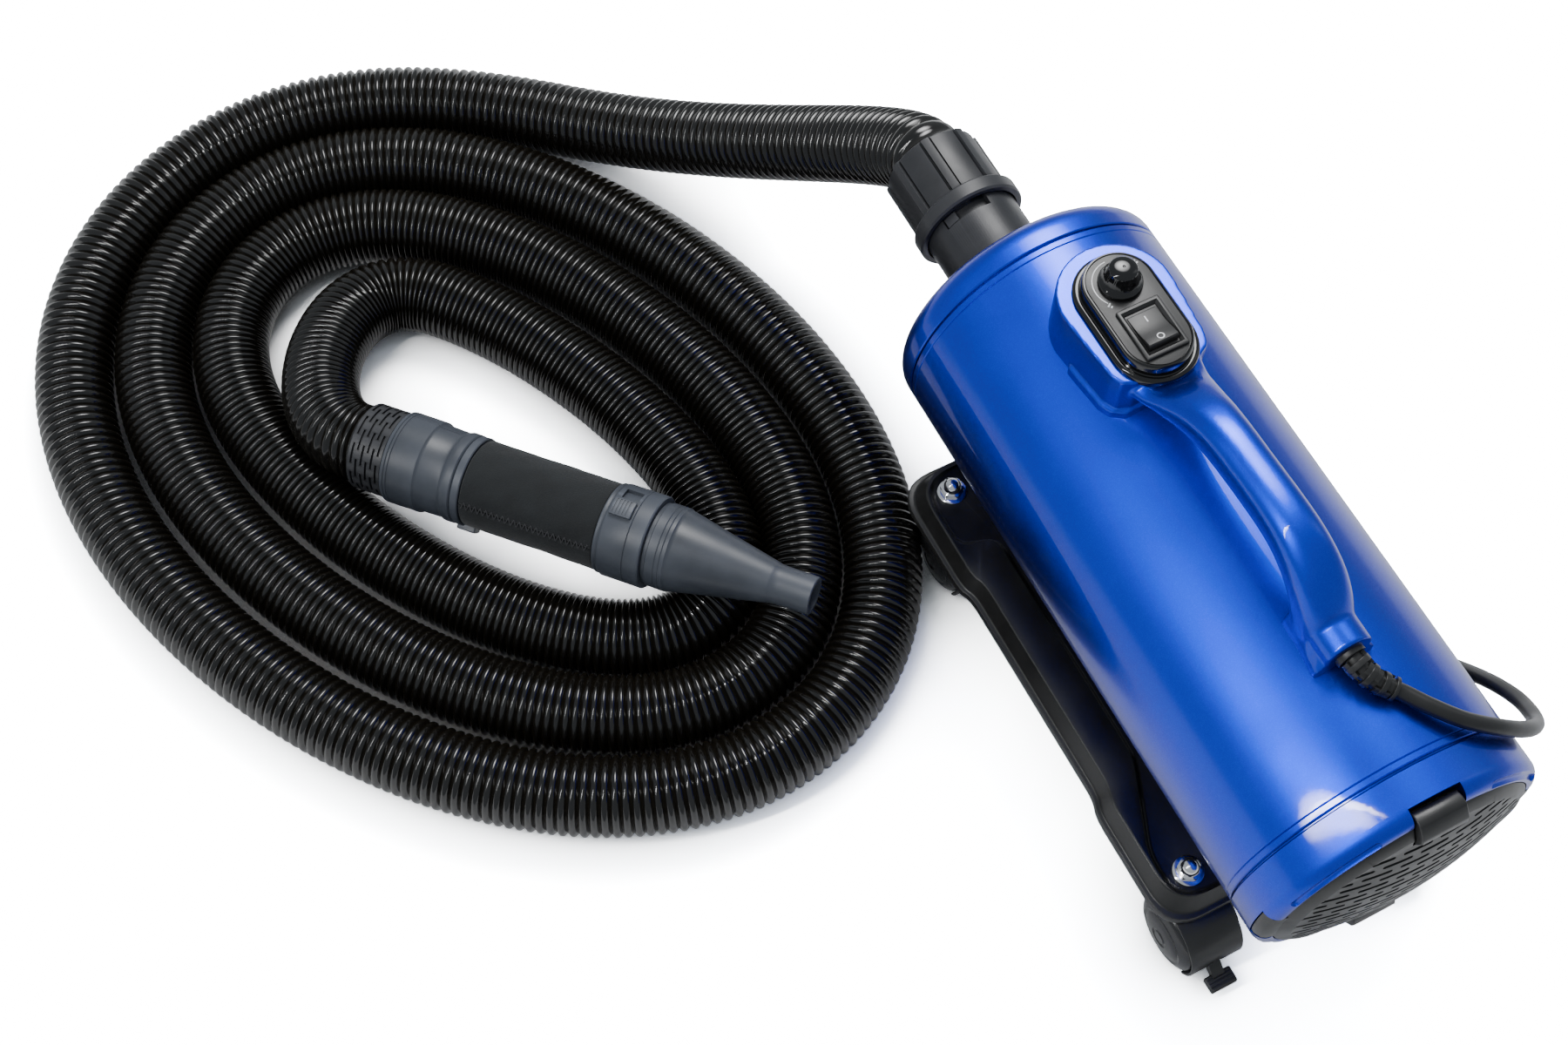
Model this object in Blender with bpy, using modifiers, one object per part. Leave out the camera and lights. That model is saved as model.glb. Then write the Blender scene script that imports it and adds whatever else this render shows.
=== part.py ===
"""Pet dryer: a wheeled force dryer with a coiled hose and a hand wand.

+Z is up, the air leaves towards +Y, and the cord foot is towards -Y. All numbers are millimetres,
counted from the point on the floor under the body's axis, midway between the caster studs. The
helpers turn them into metres and count them from ORIGIN, the middle of the whole footprint.
"""

from math import atan2, copysign, cos, pi, radians, sin

import bmesh
import bpy
from mathutils import Matrix, Quaternion, Vector

MM = 0.001
GAP = 0.3
ORIGIN = (-214.31, 218.86, 0)

# Body: a rolled tube between two moulded caps
AXIS_HEIGHT = 175
BODY_RADIUS = 85
SHEET = 2
BODY_FRONT = 169
BODY_REAR = -177.5
SEAM = 1.2
CAP_WALL = 2.6
FRONT_FACE = 193.5
REAR_EDGE = -205.5
GRILLE_RADIUS = 75.8
GRILLE_CROWN = -219
EAR_HALF_HEIGHT = 16
LATCH_HALF_WIDTH = 14

# Outlet and hose collar, both on the body's axis
SPIGOT_RADIUS = 30
SPIGOT_BORE = 26.6
SPIGOT_END = 256
WINDOW_START = 240
WINDOW_END = 247.3
COLLAR_START = 247
COLLAR_END = 300
COLLAR_FLANGE = 35
CUFF_RADIUS = 29.6
HOSE_SOCKET = 25.9
LOCK_ANGLE = 128.5
LOCK_TRAVEL = 40
LUG_HALF_ANGLE = 8

# Controls
BOSS_TOP = 289
BEZEL_FRONT = 108.5
BEZEL_REAR = 72.5
BEZEL_HALF_WIDTH = 24.5
PLATE_HALF_WIDTH = 19.5
PLATE_TOP = 300
KNOB_Y = 108.8
SWITCH_Y = 76.4

GRIP_SIDES = 14

# Cord foot
FOOT_REAR = -118.2
FOOT_AXIS_HEIGHT = 272
CORD_RADIUS = 4.5

# Base deck and casters
LIP_LOW = 55
LIP_TOP = 61.5
RIDGE_TOP = 74
TROUGH_FLOOR = 69
DECK_FRONT = 161
DECK_REAR = -163
PAD_HALF_WIDTH = 94
WAIST_HALF_WIDTH = 90
STUD_X = 67
STUD_Y = 138.5
STUD_RADIUS = 4
SWIVEL_BORE_RADIUS = 4.5
WHEEL_RADIUS = 25
WHEEL_INNER = 8.5
WHEEL_OUTER = 23
TRAIL = 18
HOOD_HALF_WIDTH = 17.5
AXLE_RADIUS = 3

# Hose: a flat spiral of oval turns on the floor
HOSE_RADIUS = 23.1
HOSE_WALL = 2.4
HOSE_FLOOR = 25.5
SPIRAL_CENTRE = (-305.8, 332.5)
SPIRAL_TURN = radians(114.1)
SPIRAL_HALF_LENGTH = 319.4
SPIRAL_HALF_WIDTH = 227.4
SPIRAL_PITCH_LONG = 51.5
SPIRAL_PITCH_WIDE = 55.4
SPIRAL_FIRST_TURN = -0.19
SPIRAL_LAST_TURN = 2.84
HOSE_DROP_LENGTH = 400

# Wand: it lies on the coil, tip up
WAND_START = (-376.5, 341.3, 58)
WAND_TIP = (-179.4, 109.5, 80)
WAND_LENGTH = 305

BLUE = (0.0, 0.075, 0.75)
BLACK = (0.012, 0.012, 0.013)
CHARCOAL = (0.03, 0.03, 0.032)
STEEL = (0.75, 0.75, 0.77)

PARTS = bpy.data.collections.new("pet_dryer")
CUTTERS = bpy.data.collections.new("cutters")


# ---------------------------------------------------------------- helpers

def clear_scene():
    for obj in list(bpy.data.objects):
        bpy.data.objects.remove(obj, do_unlink=True)
    for collection in (PARTS, CUTTERS):
        bpy.context.scene.collection.children.link(collection)


def material(name, colour, roughness, metallic=0.0):
    """A Principled material, made once for each name."""
    found = bpy.data.materials.get(name)
    if found:
        return found
    made = bpy.data.materials.new(name)
    made.use_nodes = True
    shader = made.node_tree.nodes["Principled BSDF"]
    shader.inputs["Base Color"].default_value = (*colour, 1)
    shader.inputs["Roughness"].default_value = roughness
    shader.inputs["Metallic"].default_value = metallic
    made.diffuse_color = (*colour, 1)
    return made


def turn_to(direction):
    """The rotation that takes local +Z to this direction."""
    return Vector((0, 0, 1)).rotation_difference(Vector(direction))


def place(name, data, base=(0, 0, 0), turn=None):
    obj = bpy.data.objects.new(name, data)
    obj.rotation_mode = "QUATERNION"
    obj.rotation_quaternion = turn or Quaternion()
    obj.location = (Vector(base) - Vector(ORIGIN)) * MM
    PARTS.objects.link(obj)
    return obj


def realised(obj):
    """The object with its modifiers or curve made into one welded, smooth-shaded mesh."""
    bpy.context.view_layer.update()
    graph = bpy.context.evaluated_depsgraph_get()
    mesh = bpy.data.meshes.new_from_object(obj.evaluated_get(graph))
    name = obj.name
    base = obj.location / MM + Vector(ORIGIN)
    turn = obj.rotation_quaternion.copy()
    bpy.data.objects.remove(obj, do_unlink=True)
    form = bmesh.new()
    form.from_mesh(mesh)
    bmesh.ops.remove_doubles(form, verts=form.verts, dist=0.01 * MM)
    bmesh.ops.recalc_face_normals(form, faces=form.faces)
    form.to_mesh(mesh)
    form.free()
    mesh.shade_smooth()
    mesh.set_sharp_from_angle(angle=radians(35))
    mesh.name = name
    return place(name, mesh, base, turn)


def turned(name, profile, base=(0, 0, AXIS_HEIGHT), direction=(0, 1, 0), steps=48):
    """A turned shape. The profile is (radius, distance along the axis), from the top down its outer
    side. One that starts and ends on the axis is solid, and any other is closed into a ring."""
    points = [(radius * MM, 0, along * MM) for radius, along in profile]
    edges = [(i, i + 1) for i in range(len(points) - 1)]
    if profile[0][0] > 0:
        edges.append((len(points) - 1, 0))
    mesh = bpy.data.meshes.new(name)
    mesh.from_pydata(points, edges, [])
    obj = place(name, mesh, base, turn_to(direction))
    screw = obj.modifiers.new("turn", "SCREW")
    screw.steps = steps
    screw.render_steps = steps
    screw.use_merge_vertices = True
    screw.merge_threshold = 0.01 * MM
    return realised(obj)


def rod(name, start, end, radius, end_radius=None, steps=24):
    """A solid cylinder or cone between two points."""
    start = Vector(start)
    axis = Vector(end) - start
    profile = [
        (0, axis.length),
        (radius if end_radius is None else end_radius, axis.length),
        (radius, 0),
        (0, 0),
    ]
    return turned(name, profile, start, axis, steps)


def tube(name, start, end, radius, bore, steps=32):
    start = Vector(start)
    axis = Vector(end) - start
    profile = [(radius, axis.length), (radius, 0), (bore, 0), (bore, axis.length)]
    return turned(name, profile, start, axis, steps)


def box(name, low, high, turn=None):
    """A box between two corners, turned about its centre."""
    form = bmesh.new()
    bmesh.ops.create_cube(form, size=1)
    sides = (Vector(high) - Vector(low)) * MM
    bmesh.ops.scale(form, vec=sides, verts=form.verts)
    mesh = bpy.data.meshes.new(name)
    form.to_mesh(mesh)
    form.free()
    return place(name, mesh, (Vector(low) + Vector(high)) / 2, turn)


def arc(centre, radius, first, last, steps):
    """Points (x, y) on an arc, its angles in degrees."""
    angles = [radians(first + (last - first) * i / steps) for i in range(steps + 1)]
    return [(centre[0] + radius * cos(a), centre[1] + radius * sin(a)) for a in angles]


def rounded(corners, radius, steps=4):
    """A polygon (x, y) with each corner made round, by quadratic arcs."""
    points = []
    for i, corner in enumerate(corners):
        here = Vector(corner)
        ends = []
        for other in (corners[i - 1], corners[(i + 1) % len(corners)]):
            side = Vector(other) - here
            ends.append(here + side.normalized() * min(radius, side.length * 0.45))
        for k in range(steps + 1):
            t = k / steps
            points.append(ends[0] * (1 - t) ** 2 + here * 2 * t * (1 - t) + ends[1] * t * t)
    return [tuple(point) for point in points]


def plate(name, outline, low, high):
    """A flat outline extruded from one height to another."""
    curve = bpy.data.curves.new(name, "CURVE")
    curve.dimensions = "2D"
    curve.fill_mode = "BOTH"
    curve.extrude = (high - low) / 2 * MM
    spline = curve.splines.new("POLY")
    spline.points.add(len(outline) - 1)
    for point, (x, y) in zip(spline.points, outline):
        point.co = (x * MM, y * MM, 0, 1)
    spline.use_cyclic_u = True
    return realised(place(name, curve, (0, 0, (low + high) / 2)))


def sweep(name, points, radius, radii=None, wall=0):
    """A round bar along a path, closed by flat caps, or a pipe where a wall thickness is given.
    radii scales it at each point."""
    curve = bpy.data.curves.new(name, "CURVE")
    curve.dimensions = "3D"
    curve.bevel_depth = radius * MM
    curve.bevel_resolution = 2
    curve.use_fill_caps = not wall
    spline = curve.splines.new("POLY")
    spline.points.add(len(points) - 1)
    for i, point in enumerate(points):
        spline.points[i].co = (*(Vector(point) * MM), 1)
        spline.points[i].radius = radii[i] if radii else 1
    obj = place(name, curve)
    if wall:
        obj = realised(obj)
        shell = obj.modifiers.new("wall", "SOLIDIFY")
        shell.thickness = wall * MM
        shell.offset = -1
    return obj


def loft(name, rings):
    """A skin over rings with equal numbers of points, capped at both ends."""
    form = bmesh.new()
    made = [[form.verts.new(Vector(point) * MM) for point in ring] for ring in rings]
    count = len(made[0])
    for near, far in zip(made, made[1:]):
        for i in range(count):
            j = (i + 1) % count
            form.faces.new((near[i], near[j], far[j], far[i]))
    form.faces.new(made[0])
    form.faces.new(made[-1])
    bmesh.ops.recalc_face_normals(form, faces=form.faces)
    mesh = bpy.data.meshes.new(name)
    form.to_mesh(mesh)
    form.free()
    mesh.shade_smooth()
    mesh.set_sharp_from_angle(angle=radians(35))
    return place(name, mesh)


def boolean(obj, tool, operation):
    modifier = obj.modifiers.new(tool.name, "BOOLEAN")
    modifier.operation = operation
    modifier.solver = "EXACT"
    modifier.object = tool
    if tool.name in PARTS.objects:
        PARTS.objects.unlink(tool)
        CUTTERS.objects.link(tool)
    tool.hide_render = True
    tool.display_type = "WIRE"
    return obj


def cut(obj, *tools):
    for tool in tools:
        boolean(obj, tool, "DIFFERENCE")
    return obj


def join(obj, *tools):
    for tool in tools:
        boolean(obj, tool, "UNION")
    return obj


def bevelled(obj, width, segments=2, angle=40):
    bevel = obj.modifiers.new("bevel", "BEVEL")
    bevel.width = width * MM
    bevel.segments = segments
    bevel.limit_method = "ANGLE"
    bevel.angle_limit = radians(angle)
    return obj


def pivot(name, base, direction=(0, 0, 1), parent=None):
    """An empty on a joint's axis, its Z along the axis."""
    empty = place(name, None, base, turn_to(direction))
    empty.empty_display_size = 20 * MM
    return attach(empty, parent)


def attach(obj, parent, finish=None):
    """Parents an object where it stands, and gives it its material."""
    if parent:
        obj.parent = parent
        obj.matrix_parent_inverse = world_of(parent).inverted()
    if finish:
        obj.data.materials.clear()
        obj.data.materials.append(finish)
    return obj


def world_of(obj):
    """Each parent inverse cancels its parent, so an object's own values are its world place."""
    return Matrix.LocRotScale(obj.location, obj.rotation_quaternion, None)


# ---------------------------------------------------------------- body

def body_tube(root, paint):
    tube_part = tube("body_tube", (0, BODY_REAR, AXIS_HEIGHT), (0, BODY_FRONT, AXIS_HEIGHT),
                     BODY_RADIUS, BODY_RADIUS - SHEET, 32)
    attach(tube_part, root, paint)


def spigot_lug_screw_axis(y):
    return (-38, y, AXIS_HEIGHT)


def front_cap(root, paint):
    edge = BODY_FRONT + SEAM
    lip = BODY_RADIUS - SHEET - GAP
    inner = lip - CAP_WALL
    profile = [
        (SPIGOT_RADIUS + GAP, FRONT_FACE),
        (68, FRONT_FACE),
        (78, FRONT_FACE - 3.5),
        (83, FRONT_FACE - 9),
        (BODY_RADIUS, FRONT_FACE - 16),
        (BODY_RADIUS, edge),
        (lip, edge),
        (lip, edge - 12),
        (inner, edge - 12),
        (inner, FRONT_FACE - 16),
        (67, FRONT_FACE - CAP_WALL),
        (SPIGOT_RADIUS + GAP, FRONT_FACE - CAP_WALL),
    ]
    cap = turned("front_cap", profile, steps=32)
    hole = rod("front_cap_screw_hole", spigot_lug_screw_axis(FRONT_FACE - 10),
               spigot_lug_screw_axis(FRONT_FACE + 10), 2.4, steps=12)
    attach(cut(cap, hole), root, paint)


def rear_cap(root, paint):
    edge = BODY_REAR - SEAM
    lip = BODY_RADIUS - SHEET - GAP
    inner = lip - CAP_WALL
    seat = GRILLE_RADIUS - 7
    profile = [
        (lip, edge + 12),
        (lip, edge),
        (BODY_RADIUS, edge),
        (BODY_RADIUS + GAP, edge - 5),
        (BODY_RADIUS + GAP, REAR_EDGE + 10.5),
        (84, REAR_EDGE + 5),
        (81, REAR_EDGE + 1.8),
        (GRILLE_RADIUS + 0.6, REAR_EDGE),
        (GRILLE_RADIUS + 0.6, REAR_EDGE + 9.5),
        (seat, REAR_EDGE + 9.5),
        (seat, REAR_EDGE + 12),
        (inner, REAR_EDGE + 12),
        (inner, edge + 12),
    ]
    cap = turned("rear_cap", profile, steps=32)
    ear_room = box("rear_cap_ear_room", (-100, REAR_EDGE - 5, AXIS_HEIGHT - EAR_HALF_HEIGHT - 0.8),
                   (100, REAR_EDGE + 8.6, AXIS_HEIGHT + EAR_HALF_HEIGHT + 0.8))
    cut(cap, ear_room)
    for side, sign in (("top", 1), ("bottom", -1)):
        heights = sorted((AXIS_HEIGHT + sign * 66, AXIS_HEIGHT + sign * 100))
        cut(cap, box(f"rear_cap_{side}_notch",
                     (-LATCH_HALF_WIDTH - 1.5, REAR_EDGE - 5, heights[0]),
                     (LATCH_HALF_WIDTH + 1.5, REAR_EDGE + 8.6, heights[1])))
    attach(cap, root, paint)


def grille(parent, plastic):
    """A domed disc with two side ears and rows of slots."""
    rim = GRILLE_RADIUS
    profile = [
        (0, GRILLE_CROWN + 2.5),
        (39.5, GRILLE_CROWN + 6),
        (64, REAR_EDGE - 1.5),
        (rim - 2.5, REAR_EDGE + 2),
        (rim - 2.5, REAR_EDGE + 8),
        (rim, REAR_EDGE + 8),
        (rim, REAR_EDGE + 0.5),
        (65, REAR_EDGE - 4),
        (40, GRILLE_CROWN + 3.5),
        (0, GRILLE_CROWN),
    ]
    dome = turned("intake_grille", profile, steps=32)
    ears = turned("grille_ears", [
        (84.4, REAR_EDGE + 8), (84.2, REAR_EDGE + 5.6), (81, REAR_EDGE + 2), (rim, REAR_EDGE + 0.2),
        (rim - 2, REAR_EDGE + 1.5), (rim - 2, REAR_EDGE + 8)], steps=32)
    window = box("grille_ear_window", (-100, REAR_EDGE - 20, AXIS_HEIGHT - EAR_HALF_HEIGHT),
                 (100, REAR_EDGE + 20, AXIS_HEIGHT + EAR_HALF_HEIGHT))
    boolean(ears, window, "INTERSECT")
    join(dome, ears)
    for side, sign in (("top", 1), ("bottom", -1)):
        heights = sorted((AXIS_HEIGHT + sign * 62, AXIS_HEIGHT + sign * 90))
        cut(dome, box(f"grille_{side}_notch", (-LATCH_HALF_WIDTH - 1, REAR_EDGE - 20, heights[0]),
                      (LATCH_HALF_WIDTH + 1, REAR_EDGE + 20, heights[1])))
    rows = 5
    spacing = 22
    for row in range(rows):
        height = (row - (rows - 1) / 2) * spacing
        reach = (64 ** 2 - height ** 2) ** 0.5
        count = 2
        length = 2 * reach / count
        for i in range(count):
            low = -reach + i * length + 3
            cut(dome, box(f"grille_slot_{row}_{i}",
                          (low, REAR_EDGE - 20, AXIS_HEIGHT + height - 1.8),
                          (low + length - 6, REAR_EDGE + 4, AXIS_HEIGHT + height + 1.8)))
    attach(dome, parent, plastic)


def latch(name, sign, parent, plastic):
    """A sprung tab on the grille's rim that grips the cap's edge."""
    side = [(-199, 64.5), (-199, 79), (-203, 80.6), (-211, 76.5), (-213.5, 70), (-211, 63.5)]
    rings = [[(x, y, AXIS_HEIGHT + sign * height) for y, height in side]
             for x in (-LATCH_HALF_WIDTH, LATCH_HALF_WIDTH)]
    attach(loft(name, rings), parent, plastic)


def outlet_spigot(root, plastic):
    """The tube through the front cap, with an L-shaped bayonet window on each side."""
    flange = FRONT_FACE - CAP_WALL - GAP
    profile = [
        (SPIGOT_RADIUS, SPIGOT_END),
        (SPIGOT_RADIUS, flange),
        (SPIGOT_RADIUS + 14, flange),
        (SPIGOT_RADIUS + 14, flange - 3),
        (SPIGOT_BORE, flange - 3),
        (SPIGOT_BORE, SPIGOT_END),
    ]
    spigot = turned("outlet_spigot", profile, steps=28)
    lug = box("spigot_lug", (-44, FRONT_FACE + GAP, AXIS_HEIGHT - 8),
              (-28.5, FRONT_FACE + 14, AXIS_HEIGHT + 8))
    join(spigot, bevelled(lug, 2))
    cut(spigot,
        rod("lug_counterbore", spigot_lug_screw_axis(FRONT_FACE + 7),
            spigot_lug_screw_axis(FRONT_FACE + 16), 4.6, steps=16),
        rod("lug_hole", spigot_lug_screw_axis(FRONT_FACE - 8),
            spigot_lug_screw_axis(FRONT_FACE + 10), 2.2, steps=12))
    margin = LUG_HALF_ANGLE + 2
    for side in (0, 180):
        closed = bayonet_sector(f"window_closed_{side}", WINDOW_START, WINDOW_END,
                                LOCK_ANGLE - LOCK_TRAVEL - margin + side, LOCK_ANGLE + margin + side)
        entry = bayonet_sector(f"window_entry_{side}", WINDOW_START, SPIGOT_END + 5,
                               LOCK_ANGLE - LOCK_TRAVEL - margin + side,
                               LOCK_ANGLE - LOCK_TRAVEL + margin + side)
        cut(spigot, closed, entry)
    attach(spigot, root, plastic)


def bayonet_sector(name, start, end, first, last, inner=SPIGOT_BORE - 2, outer=SPIGOT_RADIUS + 2):
    """A block of a ring about the body's axis. Angles are in degrees from +X towards +Z."""
    steps = 4
    rings = []
    for i in range(steps + 1):
        angle = radians(first + (last - first) * i / steps)
        rings.append([(radius * cos(angle), y, AXIS_HEIGHT + radius * sin(angle))
                      for radius, y in ((inner, start), (outer, start), (outer, end), (inner, end))])
    return loft(name, rings)


def spigot_screw(root, steel):
    head = FRONT_FACE + 7.4
    profile = [(0, head + 2.8), (2.6, head + 2.6), (3.8, head + 1.2), (3.8, head), (1.8, head),
               (1.8, FRONT_FACE - 7), (0, FRONT_FACE - 7)]
    screw = turned("spigot_screw", profile, spigot_lug_screw_axis(0), steps=16)
    attach(screw, root, steel)


def hose_collar(parent, plastic):
    """The bayonet ring and cuff, with a sleeve inside the spigot that carries two lugs."""
    sleeve = SPIGOT_BORE - 0.5
    bore = sleeve - 2
    profile = [
        (CUFF_RADIUS, COLLAR_END),
        (CUFF_RADIUS, COLLAR_START + 10.3),
        (COLLAR_FLANGE, COLLAR_START + 10.3),
        (COLLAR_FLANGE, COLLAR_START),
        (SPIGOT_RADIUS + 0.5, COLLAR_START),
        (SPIGOT_RADIUS + 0.5, SPIGOT_END + 0.6),
        (sleeve, SPIGOT_END + 0.6),
        (sleeve, WINDOW_START - 8),
        (bore, WINDOW_START - 8),
        (bore, SPIGOT_END + 12),
        (HOSE_SOCKET, SPIGOT_END + 12),
        (HOSE_SOCKET, COLLAR_END),
    ]
    collar = turned("hose_collar", profile, steps=28)
    for side in (0, 180):
        join(collar, bayonet_sector(f"collar_lug_{side}", WINDOW_START + 0.6, WINDOW_END - 0.6,
                                    LOCK_ANGLE - LUG_HALF_ANGLE + side,
                                    LOCK_ANGLE + LUG_HALF_ANGLE + side,
                                    sleeve - 1, SPIGOT_RADIUS - 0.6))
    attach(collar, parent, plastic)


# ---------------------------------------------------------------- handle and controls

def boss_outline(margin=0):
    radius = 33 + margin
    front = arc((0, BEZEL_FRONT), radius, 0, 180, 12)
    sides = [(31.3 + margin, 87), (29.4 + margin, 67), (25 + margin, 57 - margin)]
    left = [(-x, y) for x, y in sides]
    return front + left + list(reversed(sides))


def grip_sections():
    """(y, centre height, half width, half height) along the grip, from the boss to the foot."""
    return [
        (70, 276, 24, 11.5),
        (60, 279.3, 23, 8.6),
        (51, 281.3, 20.4, 6.8),
        (45, 283.2, 19, 6.2),
        (38, 287, 17.3, 8.5),
        (29, 291.3, 15.7, 9.8),
        (15, 296, 14.2, 11.6),
        (0, 298.2, 13.3, 12.8),
        (-20, 299, 13, 13),
        (-42, 300.3, 13, 13),
        (-58, 300, 13, 13),
        (-70, 297.5, 13.2, 13),
        (-80, 292, 13.6, 13),
        (-88, 284, 14, 13),
        (-94, 274, 14.4, 13),
        (-98, 262, 14.8, 13),
        (-99, 250, 15, 13),
    ]


def squared(share):
    """Pushes a circle's coordinate outwards, which makes its section a rounded square."""
    return copysign(abs(share) ** 0.85, share)


def grip_rings():
    sections = grip_sections()
    rings = []
    for i, (y, height, half_width, half_height) in enumerate(sections):
        before = sections[max(i - 1, 0)]
        after = sections[min(i + 1, len(sections) - 1)]
        lean = atan2(after[1] - before[1], before[0] - after[0])
        ring = []
        for k in range(GRIP_SIDES):
            angle = 2 * pi * k / GRIP_SIDES
            sideways = half_width * squared(cos(angle))
            rise = half_height * squared(sin(angle))
            ring.append((sideways, y + rise * sin(lean), height + rise * cos(lean)))
        rings.append(ring)
    return rings


def handle(root, paint):
    """One moulding: the control boss, the grip and the cord foot, seated on the body tube."""
    moulding = bevelled(plate("handle", boss_outline(), 235, BOSS_TOP), 2.5)
    grip = loft("handle_grip", grip_rings())
    barrel = rod("handle_barrel", (0, -92, FOOT_AXIS_HEIGHT), (0, FOOT_REAR, FOOT_AXIS_HEIGHT), 13.5)
    foot = loft("handle_foot", [
        [(sign * x, y, z) for sign, x, z in ((-1, 15.5, 240), (1, 15.5, 240), (1, 15.5, 266),
                                             (1, 11, 275), (-1, 11, 275), (-1, 15.5, 266))]
        for y in (-90, FOOT_REAR)])
    join(moulding, grip, barrel, foot)
    saddle = rod("handle_saddle", (0, BODY_REAR, AXIS_HEIGHT), (0, BODY_FRONT, AXIS_HEIGHT),
                 BODY_RADIUS + GAP, steps=48)
    cavity = plate("handle_cavity", slot_outline(PLATE_HALF_WIDTH - 1.5, 0), 235, BOSS_TOP + 5)
    socket = rod("handle_cord_hole", (0, FOOT_REAR + 12, FOOT_AXIS_HEIGHT),
                 (0, FOOT_REAR - 5, FOOT_AXIS_HEIGHT), 8.2, steps=20)
    cut(moulding, saddle, cavity, socket)
    attach(moulding, root, paint)


def slot_outline(half_width, inset):
    """A straight-sided slot with round ends on the control bezel's centre line."""
    front = arc((0, BEZEL_FRONT - inset), half_width, 0, 180, 8)
    rear = arc((0, BEZEL_REAR + inset), half_width, 180, 360, 8)
    return front + rear


def control_bezel(root, plastic):
    """A stepped oblong cover over the boss, open for the knob shaft and the switch."""
    bezel = plate("control_bezel", slot_outline(BEZEL_HALF_WIDTH, 0), BOSS_TOP + GAP, BOSS_TOP + 3)
    riser = plate("bezel_riser", slot_outline(PLATE_HALF_WIDTH, 1), BOSS_TOP + 2, PLATE_TOP)
    hollow = plate("bezel_hollow", slot_outline(PLATE_HALF_WIDTH - 2.5, 1), BOSS_TOP - 2, PLATE_TOP - 2.5)
    shaft_hole = rod("bezel_shaft_hole", (0, KNOB_Y, PLATE_TOP - 6), (0, KNOB_Y, PLATE_TOP + 2), 3.6)
    switch_hole = box("bezel_switch_hole", (-11.2, SWITCH_Y - 14.6, PLATE_TOP - 6),
                      (11.2, SWITCH_Y + 14.6, PLATE_TOP + 2))
    join(bezel, bevelled(riser, 1.2))
    cut(bezel, hollow, shaft_hole, switch_hole)
    attach(bezel, root, plastic)


def switch_frame(root, plastic):
    rim = box("switch_frame", (-12.8, SWITCH_Y - 16.3, PLATE_TOP + GAP),
              (12.8, SWITCH_Y + 16.3, PLATE_TOP + 2.3))
    body = box("switch_body", (-10.9, SWITCH_Y - 14.2, PLATE_TOP - 20),
               (10.9, SWITCH_Y + 14.2, PLATE_TOP + 1))
    join(rim, body)
    cut(rim, box("switch_well", (-9.4, SWITCH_Y - 12.6, PLATE_TOP - 8),
                 (9.4, SWITCH_Y + 12.6, PLATE_TOP + 5)))
    attach(rim, root, plastic)


def power_rocker(parent, plastic):
    """The rocker, at rest with its I end (towards the knob) pressed."""
    side = [(-11.4, -3.5), (-11.4, 1.5), (-10.4, 4.6), (0, 2.2), (11.4, 0.2), (11.4, -3.5), (0, -6)]
    rings = [[(x, SWITCH_Y + y, PLATE_TOP + z) for y, z in side] for x in (-8.8, 8.8)]
    attach(loft("power_rocker", rings), parent, plastic)


def speed_knob(parent, plastic):
    base = PLATE_TOP + 0.6
    profile = [(0, base + 14.4), (4, base + 14.2), (7.5, base + 12.8), (8.6, base + 8), (10.6, base + 5),
               (12, base + 2.2), (12, base), (3, base), (3, base - 14), (0, base - 14)]
    knob = turned("speed_knob", profile, (0, KNOB_Y, 0), (0, 0, 1), 20)
    attach(knob, parent, plastic)


def speed_board(root, board):
    plate_part = box("speed_board", (-11, SWITCH_Y + 18, 270), (11, BEZEL_FRONT + 12, 271.6))
    pot = box("speed_pot", (-8, KNOB_Y - 8, 271), (8, KNOB_Y + 8, 286))
    shaft_room = rod("speed_pot_bore", (0, KNOB_Y, 284), (0, KNOB_Y, 288), 3.4, steps=16)
    attach(cut(join(plate_part, pot), shaft_room), root, board)


def strain_relief(root, rubber):
    path = relief_path()
    radii = [7.6, 7.2, 6.6, 6.1, 5.7, 5.6]
    attach(sweep("strain_relief", path, 1, radii), root, rubber)


def relief_path():
    y = FOOT_REAR
    return [(0, y - GAP, FOOT_AXIS_HEIGHT - 0.5), (0.6, y - 5, 271.3), (2.6, y - 12, 269.8),
            (6.2, y - 18, 267.9), (10.2, y - 22.5, 266.2), (12.5, y - 25, 265.4)]


def cord_path():
    """From the relief round behind the body, then down its right side to the floor."""
    before, last = [Vector(point) for point in relief_path()[-2:]]
    way = (last - before).normalized()
    return [
        last + 0.4 * way, last + 5 * way, (24, -158.5, 263.2), (36.5, -171.5, 259.6),
        (55.5, -181, 248.8), (77.5, -184, 227.5), (94, -180, 207), (103, -170, 192),
        (109, -156, 176), (112, -138, 156), (114, -116, 128), (116, -95, 98), (118, -76, 66),
        (120, -60, 36), (122, -44, 14), (123, -28, 5.5), (124, -8, CORD_RADIUS + 0.3),
        (122, 12, CORD_RADIUS + 0.3), (120, 28, CORD_RADIUS + 0.6)]


def power_cord(root, rubber):
    attach(sweep("power_cord", cord_path(), CORD_RADIUS), root, rubber)


def mains_plug(root, rubber):
    """A moulded plug with two round pins."""
    body = plate("mains_plug", rounded([(105, 29), (135, 29), (137, 58), (103, 58)], 6), 0.5, 19)
    bevelled(body, 2)
    for side in (-1, 1):
        join(body, rod(f"plug_pin_{side}", (120 + side * 9.5, 50, 10), (120 + side * 9.5, 77, 10), 2.4,
                       steps=8))
    cord_room = rod("plug_cord_room", (120, 20, CORD_RADIUS + 0.6), (120, 32, CORD_RADIUS + 0.6),
                    CORD_RADIUS + 0.6, steps=12)
    attach(cut(body, cord_room), root, rubber)


# ---------------------------------------------------------------- base and casters

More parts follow.
